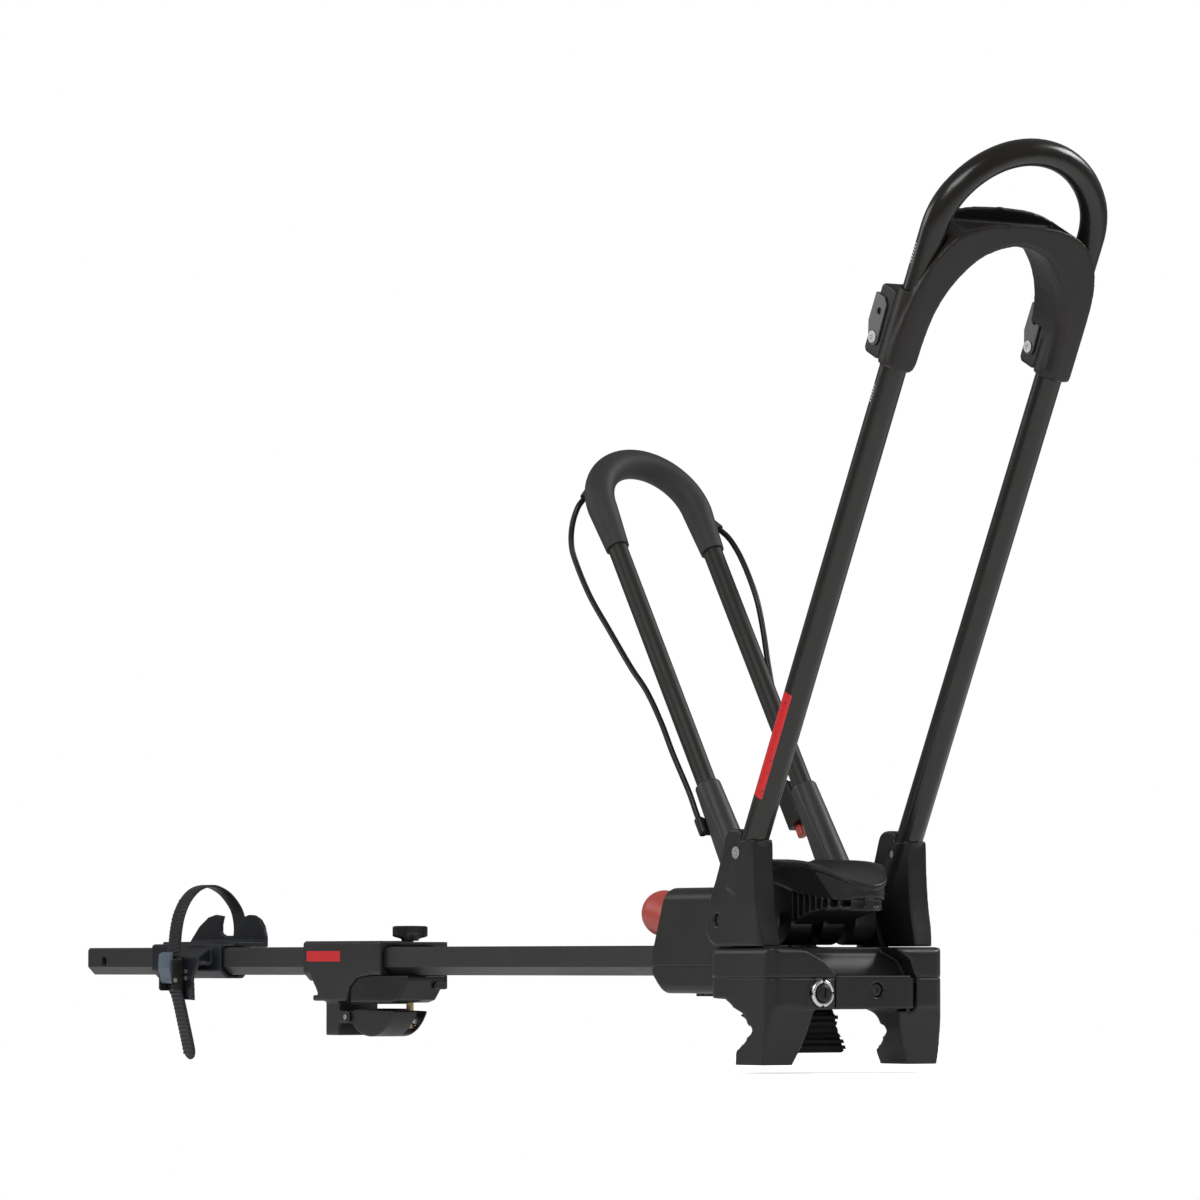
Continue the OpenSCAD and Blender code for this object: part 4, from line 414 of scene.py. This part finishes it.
def clamp_material():
    """The rear clamp's moulding with a plain red label on its right side."""
    material = moulding("clamp_moulding", (0.0175, 0.0175, 0.0172), (0.048, 0.048, 0.048), 0.42,
                        gloss=0.40)
    t = Tree(material.node_tree)
    shader = material.node_tree.nodes["Principled BSDF"]
    body = shader.inputs["Base Color"].links[0].from_socket
    place = t.add("ShaderNodeTexCoord").outputs["Object"]
    axes = t.add("ShaderNodeSeparateXYZ", {0: place}).outputs
    mask = t.math("LESS_THAN", axes["Y"], LABEL_FACE_Y)
    for axis, (low, high) in (("X", LABEL_X), ("Z", LABEL_Z)):
        mask = t.math("MULTIPLY", mask, t.math("GREATER_THAN", axes[axis], low))
        mask = t.math("MULTIPLY", mask, t.math("LESS_THAN", axes[axis], high))
    speck = t.add("ShaderNodeTexNoise", {"Vector": place, "Scale": 500.0})
    mask = t.math("MULTIPLY", mask, t.ramp(speck.outputs["Fac"], 0.28, 0.36), True)
    join(t, shader, Base_Color=t.mix(mask, body, rgba(*LABEL_RED)))
    return material


clamp_moulding = clamp_material()


def tall_tube_material():
    """The tall hoop's coating, with a plain red band and white height marks on its right leg."""
    material, t, body, shader = coated_tube("tall_tube_coating", (0.0105, 0.0090, 0.0076), 0.24,
                                            math.pi / 2 + TALL_LEAN)
    place = t.add("ShaderNodeTexCoord").outputs["Object"]
    own = t.add("ShaderNodeMapping", {"Vector": place, "Location": HINGE, "Rotation": (0.0, TALL_LEAN, 0.0)},
                vector_type="TEXTURE")
    axes = t.add("ShaderNodeSeparateXYZ", {0: own.outputs["Vector"]}).outputs
    height = axes["Z"]
    band = t.math("MULTIPLY", t.math("GREATER_THAN", height, BAND_UP[0]),
                  t.math("LESS_THAN", height, BAND_UP[1]))
    outside = t.math("MULTIPLY", t.math("LESS_THAN", axes["Y"], -TALL_HALF - BAND_OUT),
                     t.near(axes["X"], TALL_OFFSET - BAND_BEHIND, BAND_HALF))
    speck = t.add("ShaderNodeTexNoise", {"Vector": place, "Scale": 420.0, "Detail": 2.0}).outputs["Fac"]
    printed = t.math("MULTIPLY", t.math("MULTIPLY", band, outside), t.ramp(speck, 0.30, 0.40), True)
    body = t.mix(printed, body, rgba(*BAND_RED))
    groups = 0.0
    for middle in MARKS_UP:
        groups = t.math("MAXIMUM", groups, t.near(height, middle, MARKS_HALF))
    counted = t.math("FRACT", t.math("MULTIPLY", height, MARKS_PER_METRE))
    tick = t.math("GREATER_THAN", counted, MARKS_GAP_SHARE)
    strip = t.math("MULTIPLY", t.near(axes["X"], TALL_OFFSET - MARKS_BEHIND, MARKS_WIDE),
                   t.math("LESS_THAN", axes["Y"], -TALL_HALF - MARKS_OUT))
    marks = t.math("MULTIPLY", t.math("MULTIPLY", groups, tick), strip)
    body = t.mix(marks, body, rgba(*MARKS_WHITE))
    join(t, shader, Base_Color=body)
    return material


tall_tube_coating = tall_tube_material()

FINISHES = {
    dark_moulding: ["base_body", "base_cover", "drive_cover", "right_leg_bracket", "left_leg_bracket",
                    "wheel_cradle", "clamp_lever", "rear_jaw", "lower_jaw", "buckle_base"],
    clamp_moulding: ["rear_clamp_body"],
    black_moulding: ["rail_end_cap", "axle_washers", "latch_blocks", "cable_clip", "cable_lock", "lock_core",
                     "wing_knob"],
    block_moulding: ["rear_clamp_block"],
    saddle_moulding: ["tyre_saddle"],
    grey_sleeve: ["right_hoop_leg", "left_hoop_leg"],
    soft_grip: ["short_hoop_pad"],
    clamp_rubber: ["claw_pads", "jaw_pad", "rear_clamp_pad", "lower_jaw_pad"],
    tray_moulding: ["wheel_tray"],
    strap_rubber: ["ladder_strap"],
    cable_cover: ["security_cable"],
    red_plastic: ["adjusting_knob", "cable_lock_button"],
    buckle_blue: ["buckle_lever"],
    latch_plate: ["right_latch_lever", "left_latch_lever"],
    rail_coating: ["rail"],
    short_tube_coating: ["short_hoop_tube"],
    tall_tube_coating: ["tall_hoop_tube"],
    zinc_steel: ["leg_pins", "latch_pins", "cradle_bolts", "worm_shaft", "push_rod", "lock_cam",
                 "lower_jaw_pin", "clamp_nut", "buckle_screws", "buckle_pin"],
    # The sector gear and the worm are dark steel here instead of bronze: partly their own colour, partly
    # painted shade under the cradle.
    dark_steel_and_shade: ["rail_bolts", "base_screws", "hinge_axle", "lever_pin", "jaw_pin", "lever_screw",
                 "sector_gear", "worm"],
    bright_plate: ["lock_ring"],
    brass_plate: ["clamp_bolt"],
    bearing_bronze: ["worm_bearings"],
}
for material, names in FINISHES.items():
    for name in names:
        nodes[name].data.materials.clear()
        nodes[name].data.materials.append(material)


# Moulded forms

def plain_mesh(piece):
    """Turns an object's evaluated shape into a plain mesh and takes its modifiers off."""
    bpy.context.view_layer.update()
    shaped = piece.evaluated_get(bpy.context.evaluated_depsgraph_get())
    mesh = bpy.data.meshes.new_from_object(shaped)
    piece.modifiers.clear()
    piece.data = mesh
    return mesh


def new_piece(name, points, faces, material):
    """An object from points and faces, with its normals turned outwards."""
    mesh = bpy.data.meshes.new(name)
    mesh.from_pydata(points, [], faces)
    work = bmesh.new()
    work.from_mesh(mesh)
    bmesh.ops.recalc_face_normals(work, faces=work.faces)
    work.to_mesh(mesh)
    work.free()
    mesh.shade_smooth()
    mesh.materials.append(material)
    piece = bpy.data.objects.new(name, mesh)
    bpy.context.scene.collection.objects.link(piece)
    return piece


def copy_of(node, name):
    """A copy of a CAD node as one connected mesh, to be worked on."""
    mesh = nodes[node].data.copy()
    work = bmesh.new()
    work.from_mesh(mesh)
    bmesh.ops.remove_doubles(work, verts=work.verts, dist=0.000001)
    work.to_mesh(mesh)
    work.free()
    piece = bpy.data.objects.new(name, mesh)
    bpy.context.scene.collection.objects.link(piece)
    return piece


def stand_for(piece, node):
    """Lets a piece take the place and the body of a CAD node, and hides the node."""
    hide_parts(node)
    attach(piece, body_of[node])


def moulded(node, grid, rounds):
    """A moulding in its real form: the CAD piece skinned on a fine grid, with its edges drawn round."""
    material = nodes[node].data.materials[0]
    piece = copy_of(node, node + "_moulded")
    skin = piece.modifiers.new("skin", "REMESH")
    skin.mode = "VOXEL"
    skin.voxel_size = grid
    ease = piece.modifiers.new("ease", "SMOOTH")
    ease.factor = 0.5
    ease.iterations = rounds
    mesh = plain_mesh(piece)
    mesh.shade_smooth()
    mesh.materials.clear()
    mesh.materials.append(material)
    stand_for(piece, node)


# Width of the skin's grid in metres, and how many times it is eased
MOULDED = {
    "base_body": (0.0014, 4), "base_cover": (0.0013, 6), "drive_cover": (0.0012, 4),
    "right_leg_bracket": (0.0011, 8), "left_leg_bracket": (0.0011, 8), "wheel_cradle": (0.0009, 3),
    "clamp_lever": (0.0010, 4), "tyre_saddle": (0.0014, 12), "rear_clamp_body": (0.0012, 5),
    "rear_clamp_block": (0.0012, 5), "lower_jaw": (0.0010, 4), "wheel_tray": (0.0011, 4),
    "latch_blocks": (0.0010, 4), "right_latch_lever": (0.0006, 3), "left_latch_lever": (0.0006, 3),
    "buckle_base": (0.0006, 3), "buckle_lever": (0.0006, 5), "wing_knob": (0.0007, 5),
    "cable_lock": (0.0007, 5), "cable_clip": (0.0006, 4), "right_hoop_leg": (0.0011, 5),
    "left_hoop_leg": (0.0011, 5), "rail_end_cap": (0.0010, 3), "rear_jaw": (0.0011, 4),
}
for node, (grid, rounds) in MOULDED.items():
    moulded(node, grid, rounds)


# Round forms

CREASE = math.radians(35)


def smoothed(node):
    """A round CAD piece with its facets shaded as one surface, up to edges sharper than a crease."""
    piece = copy_of(node, node + "_smoothed")
    piece.data.shade_smooth()
    piece.data.set_sharp_from_angle(angle=CREASE)
    even = piece.modifiers.new("even", "WEIGHTED_NORMAL")
    even.keep_sharp = True
    plain_mesh(piece)
    stand_for(piece, node)


for node in ("tall_hoop_tube", "short_hoop_tube", "short_hoop_pad", "adjusting_knob"):
    smoothed(node)


# Pin heads, in metres: place and height of the pins in the tall hoop's own frame, and their cross recesses

LEG_PIN = (-0.005, 0.076)
LATCH_PIN = (-0.028, 0.621)
LATCH_HALF = 0.0144
CROSS_REACH = 0.0030
CROSS_WIDTH = 0.0006
CROSS_ROUND = 0.00025
LEG_CROSS_DEPTH = 0.0008
LATCH_CROSS_DEPTH = 0.0006


def cross_recessed(node, heads, depth):
    """A node's pins with a cross recess in each head. The heads' places are in the tall hoop's own frame."""
    quarter = [(CROSS_WIDTH, CROSS_WIDTH), (CROSS_WIDTH, CROSS_REACH), (-CROSS_WIDTH, CROSS_REACH)]
    turns = [(1, 0), (0, 1), (-1, 0), (0, -1)]
    outline = [(x * cos - y * sin, x * sin + y * cos) for cos, sin in turns for x, y in quarter]
    count = len(outline)
    points, faces = [], []
    for x, face, up, sign in heads:
        first = len(points)
        for y in (face - sign * depth, face + sign * depth):
            points += [in_tall_hoop(x + u, y, up + v) for u, v in outline]
        faces.append(tuple(first + k for k in range(count)))
        faces.append(tuple(first + count + k for k in range(count)))
        faces += [(first + k, first + (k + 1) % count, first + count + (k + 1) % count, first + count + k)
                  for k in range(count)]
    material = nodes[node].data.materials[0]
    cutter = new_piece(node + "_recesses", points, faces, material)
    piece = copy_of(node, node + "_recessed")
    cut = piece.modifiers.new("recess", "BOOLEAN")
    cut.operation = "DIFFERENCE"
    cut.object = cutter
    round_off = piece.modifiers.new("round_off", "BEVEL")
    round_off.width = CROSS_ROUND
    round_off.segments = 2
    round_off.limit_method = "ANGLE"
    plain_mesh(piece)
    bpy.data.objects.remove(cutter)
    stand_for(piece, node)


outer_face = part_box("leg_pins")[1].y
cross_recessed("leg_pins", [(LEG_PIN[0], side * outer_face, LEG_PIN[1], side) for side in (-1, 1)],
               LEG_CROSS_DEPTH)
cross_recessed("latch_pins", [(LATCH_PIN[0], side * TALL_HALF + face * LATCH_HALF, LATCH_PIN[1], face)
                              for side in (-1, 1) for face in (-1, 1)], LATCH_CROSS_DEPTH)


# Lock ring, in metres. Its rim and its bore are eased: how far behind the front, and how far in or out

RING_BORE = 0.00915
RING_RIM = [(0.0022, 0.0), (0.0008, 0.0007), (0.0, 0.0018)]
RING_CHAMFER = [(0.0, 0.0016), (0.0010, 0.0)]
RING_STEPS = 144
NOTCH_DEPTH = 0.0021
NOTCH_HALF = math.radians(9)


def notched_ring():
    """The plated ring round the lock: eased in and out, with four notches in its rim."""
    low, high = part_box("lock_ring")
    middle = (low + high) / 2
    outer = (high.z - low.z) / 2
    back, front = low.x, high.x
    profile = [(back, outer, 0)]
    profile += [(front - behind, outer - within, 1) for behind, within in RING_RIM]
    profile += [(front - behind, RING_BORE + beyond, 0) for behind, beyond in RING_CHAMFER]
    profile.append((back, RING_BORE, 0))
    points = []
    for i in range(RING_STEPS):
        turn = 2 * math.pi * i / RING_STEPS
        away = abs((turn + math.pi / 4) % (math.pi / 2) - math.pi / 4) / NOTCH_HALF
        dip = NOTCH_DEPTH * max(0.0, 1 - away ** 4)
        for x, radius, notched in profile:
            reach = radius - dip * notched
            points.append((x, middle.y + reach * math.cos(turn), middle.z + reach * math.sin(turn)))
    count = len(profile)
    faces = [(i * count + k, i * count + (k + 1) % count,
              (i + 1) % RING_STEPS * count + (k + 1) % count, (i + 1) % RING_STEPS * count + k)
             for i in range(RING_STEPS) for k in range(count)]
    stand_for(new_piece("notched_lock_ring", points, faces, bright_plate), "lock_ring")


notched_ring()


# Ladder strap

# Route of the strap's middle line: place across the carrier and height, in mm
STRAP_ROUTE = [(46, 94), (47, 108), (44, 124), (37, 136), (26, 147), (12, 154), (0, 155), (-14, 150),
               (-26, 138), (-34, 122), (-38, 105), (-40, 88), (-42.5, 74), (-43, 60), (-41.5, 46),
               (-37, 33), (-33, 20), (-28, 0), (-22, -24), (-18, -42)]
STRAP_STEPS = 10
STRAP_EDGE = 0.0009
EDGE_STEPS = 4
TAIL_END_SHARE = 0.12
RIBS_FROM = 8
RIBS_STEPS = 8
RIBS_SHORT_OF_END = 4
RIB_PITCH = 0.0046
RIB_WIDTH_SHARE = 0.86
RIB_HEIGHT = 0.0011


def strap_line(start, steps):
    """The strap's middle line from one of its route's points on."""
    return smooth_line([Vector((STRAP_X, y / 1000, z / 1000)) for y, z in STRAP_ROUTE[start:]], steps)


def strap_band():
    """The strap itself: a thin band with rounded edges and a round end to its tail."""
    line = strap_line(0, STRAP_STEPS)
    run = [0.0]
    for a, b in zip(line, line[1:]):
        run.append(run[-1] + (b - a).length)
    half = STRAP_WIDTH / 2
    thick = STRAP_THICK / 2
    narrowest = half * TAIL_END_SHARE
    corners = [(1, 1), (-1, 1), (-1, -1), (1, -1)]
    points = []
    for i, place in enumerate(line):
        along = (line[min(i + 1, len(line) - 1)] - line[max(i - 1, 0)]).normalized()
        out = Vector((1, 0, 0)).cross(along)
        left = run[-1] - run[i]
        width = half if left > half else max(math.sqrt(max(half ** 2 - (half - left) ** 2, 0)), narrowest)
        for k, (sx, sn) in enumerate(corners):
            for j in range(EDGE_STEPS + 1):
                turn = math.pi / 2 * (k + j / EDGE_STEPS)
                across = sx * (width - STRAP_EDGE) + STRAP_EDGE * math.cos(turn)
                up = sn * (thick - STRAP_EDGE) + STRAP_EDGE * math.sin(turn)
                points.append(place + Vector((across, 0, 0)) + out * up)
    count = len(corners) * (EDGE_STEPS + 1)
    faces = [(i * count + k, i * count + (k + 1) % count,
              (i + 1) * count + (k + 1) % count, (i + 1) * count + k)
             for i in range(len(line) - 1) for k in range(count)]
    faces.append(tuple(range(count)))
    faces.append(tuple((len(line) - 1) * count + k for k in range(count)))
    stand_for(new_piece("ladder_strap_band", points, faces, strap_rubber), "ladder_strap")


def ladder_ribs_tree():
    """Ribs across a strap, one at each pitch along its middle line."""
    tree = bpy.data.node_groups.new("ladder_ribs", "GeometryNodeTree")
    tree.interface.new_socket("Geometry", in_out="INPUT", socket_type="NodeSocketGeometry")
    for label in ("Pitch", "Rib Length", "Rib Height", "Lift"):
        tree.interface.new_socket(label, in_out="INPUT", socket_type="NodeSocketFloat")
    tree.interface.new_socket("Finish", in_out="INPUT", socket_type="NodeSocketMaterial")
    tree.interface.new_socket("Geometry", in_out="OUTPUT", socket_type="NodeSocketGeometry")
    t = Tree(tree)
    enter = t.add("NodeGroupInput").outputs
    leave = t.add("NodeGroupOutput")
    line = t.add("GeometryNodeMeshToCurve", {"Mesh": enter["Geometry"]})
    spaced = t.add("GeometryNodeResampleCurve", {"Curve": line.outputs[0], "Length": enter["Pitch"]},
                   mode="LENGTH")
    half = t.math("MULTIPLY", enter["Rib Length"], 0.5)
    start = t.add("ShaderNodeCombineXYZ", {"X": t.math("MULTIPLY", half, -1.0)})
    end = t.add("ShaderNodeCombineXYZ", {"X": half})
    bar = t.add("GeometryNodeCurvePrimitiveLine", {"Start": start.outputs[0], "End": end.outputs[0]})
    round_bar = t.add("GeometryNodeCurvePrimitiveCircle", {"Resolution": 12, "Radius": enter["Rib Height"]})
    rib = t.add("GeometryNodeCurveToMesh", {"Curve": bar.outputs[0], "Profile Curve": round_bar.outputs[0],
                                            "Fill Caps": True})
    down = t.add("ShaderNodeCombineXYZ", {"Z": t.math("MULTIPLY", enter["Lift"], -1.0)})
    placed = t.add("GeometryNodeTransform", {"Geometry": rib.outputs[0], "Translation": down.outputs[0],
                                             "Scale": (1.0, 1.25, 1.0)})
    tangent = t.add("GeometryNodeInputTangent").outputs[0]
    turned = t.add("FunctionNodeAlignRotationToVector", {"Vector": tangent}, axis="Y", pivot_axis="X")
    many = t.add("GeometryNodeInstanceOnPoints", {"Points": spaced.outputs[0], "Instance": placed.outputs[0],
                                                  "Rotation": turned.outputs[0]})
    real = t.add("GeometryNodeRealizeInstances", {"Geometry": many.outputs[0]})
    made = t.add("GeometryNodeSetMaterial", {"Geometry": real.outputs[0], "Material": enter["Finish"]})
    tree.links.new(made.outputs[0], leave.inputs[0])
    return tree


def repeat_along(name, line, tree, node, **inputs):
    """Runs a tree of Geometry Nodes along a line of points and keeps the result as a plain mesh."""
    mesh = bpy.data.meshes.new(name)
    mesh.from_pydata(line, [(i, i + 1) for i in range(len(line) - 1)], [])
    piece = bpy.data.objects.new(name, mesh)
    bpy.context.scene.collection.objects.link(piece)
    repeat = piece.modifiers.new(name, "NODES")
    repeat.node_group = tree
    sockets = {item.name: item.identifier for item in tree.interface.items_tree if item.in_out == "INPUT"}
    for label, value in inputs.items():
        repeat[sockets[label.replace("_", " ")]] = value
    plain_mesh(piece).shade_smooth()
    stand_for(piece, node)


strap_band()
repeat_along("ladder_strap_ribs", strap_line(RIBS_FROM, RIBS_STEPS)[:-RIBS_SHORT_OF_END],
             ladder_ribs_tree(), "ladder_strap", Pitch=RIB_PITCH, Rib_Length=STRAP_WIDTH * RIB_WIDTH_SHARE,
             Rib_Height=RIB_HEIGHT, Lift=STRAP_THICK / 2, Finish=strap_rubber)


# Security cable

NEAR_RUN = [(543, -50, 17), (533, -60, 21), (523, -70, 25), (509, -76, 35), (492, -78, 45), (472, -78, 49),
            (426, -78, 47), (375, -78, 37), (322, -78, 26), (285, -78, 16), (245, -78, 12), (205, -78, 12),
            (160, -76, 12), (136, -75, 14), (124, -75, 14), (112, -75, 14)]
FAR_RUN = [(491, 73.4, 0), (481, 76.9, -3.6), (467, 78.5, -10), (452, 78, -15), (434, 78, -18),
           (408, 78, -19), (379, 78, -17), (348, 78, -9), (318, 77, 0), (292, 75.5, 6), (262, 72.5, 12),
           (232, 67, 20), (210, 62, 26), (192, 60, 28), (166, 60, 28)]
RUN_STEPS = 8


def cable_run(name, route):
    """One run of the covered cable. Its route gives the distance up the hoop, across and behind it, in mm."""
    line = smooth_line([in_short_hoop(-p[2] / 1000, p[1] / 1000, p[0] / 1000) for p in route],
                       RUN_STEPS)
    curve = bpy.data.curves.new(name, "CURVE")
    curve.dimensions = "3D"
    curve.bevel_depth = CABLE_R
    curve.bevel_resolution = 5
    curve.use_fill_caps = True
    spline = curve.splines.new("POLY")
    spline.points.add(len(line) - 1)
    for point, place in zip(spline.points, line):
        point.co = (*place, 1.0)
        point.radius = 1.0
    curve.materials.append(cable_cover)
    piece = bpy.data.objects.new(name, curve)
    bpy.context.scene.collection.objects.link(piece)
    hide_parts("security_cable")
    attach(piece, "short_hoop")


cable_run("cable_near_run", NEAR_RUN)
cable_run("cable_far_run", FAR_RUN)


# Floor and light, in metres and in the shader's own strengths

FLOOR_GAP = 0.0005
FLOOR_HALF = 9
FLOOR_FADE = (1.2, 2.6)
FLOOR_GLOW = (0.05, 0.55)
EVEN_LIGHT = 0.42
SEEN_IN_GLOSS = 0.22


def make_floor():
    """A plain white floor under the strap's tail, fading out where the backdrop takes over."""
    level = cad_box[0][2] - FLOOR_GAP
    mesh = bpy.data.meshes.new("floor")
    corners = [(x * FLOOR_HALF, y * FLOOR_HALF, level) for x, y in ((-1, -1), (1, -1), (1, 1), (-1, 1))]
    mesh.from_pydata(corners, [], [(0, 1, 2, 3)])
    floor = bpy.data.objects.new("floor", mesh)
    bpy.context.scene.collection.objects.link(floor)
    material, t, shader = start_material("floor_white")
    out = t.tree.nodes["Material Output"]
    place = t.add("ShaderNodeTexCoord").outputs["Object"]
    away = t.add("ShaderNodeVectorMath", {0: place}, operation="LENGTH").outputs["Value"]
    fade = t.ramp(away, *FLOOR_FADE)
    clear = t.add("ShaderNodeBsdfTransparent")
    both = t.add("ShaderNodeMixShader", {0: fade, 1: shader.outputs[0], 2: clear.outputs[0]})
    t.tree.links.new(both.outputs[0], out.inputs["Surface"])
    glow = t.ramp(t.add("ShaderNodeLightPath").outputs["Is Camera Ray"], 0.0, 1.0, *FLOOR_GLOW)
    join(t, shader, Base_Color=rgba(0.95, 0.95, 0.95), Roughness=0.9, Specular_IOR_Level=0.1,
         Emission_Color=rgba(1, 1, 1), Emission_Strength=glow)
    mesh.materials.append(material)


def make_world():
    """White for what the camera and transmission rays see, dimmer white in reflections, plain even light for
    the rest.
    """
    world = bpy.data.worlds.new("studio")
    world.use_nodes = True
    world.node_tree.nodes.clear()
    t = Tree(world.node_tree)
    seen = t.add("ShaderNodeLightPath").outputs
    direct = t.math("MAXIMUM", seen["Is Camera Ray"], seen["Is Transmission Ray"])
    strength = t.ramp(seen["Is Glossy Ray"], 0.0, 1.0, EVEN_LIGHT, SEEN_IN_GLOSS)
    strength = t.math("MAXIMUM", direct, strength)
    light = t.add("ShaderNodeBackground", {"Color": rgba(1, 1, 1), "Strength": strength})
    t.tree.links.new(light.outputs[0], t.add("ShaderNodeOutputWorld").inputs["Surface"])
    bpy.context.scene.world = world


def make_lamp(name, place, aim, size, power):
    """A soft rectangular lamp that faces a point."""
    lamp = bpy.data.lights.new(name, "AREA")
    lamp.shape = "RECTANGLE"
    lamp.size, lamp.size_y = size
    lamp.energy = power
    holder = bpy.data.objects.new(name, lamp)
    bpy.context.scene.collection.objects.link(holder)
    holder.location = place
    holder.rotation_euler = (Vector(aim) - Vector(place)).to_track_quat("-Z", "Y").to_euler()


make_floor()
make_world()
make_lamp("key_light", (2.2, -3.0, 3.2), (-0.3, 0, 0.3), (2.4, 1.6), 85)
make_lamp("fill_light", (-2.6, -2.6, 1.8), (-0.5, 0, 0.2), (2.2, 1.4), 30)
make_lamp("back_light", (1.2, 3.2, 2.6), (-0.2, 0, 0.4), (1.8, 1.2), 75)

bpy.context.scene.view_settings.view_transform = "Standard"
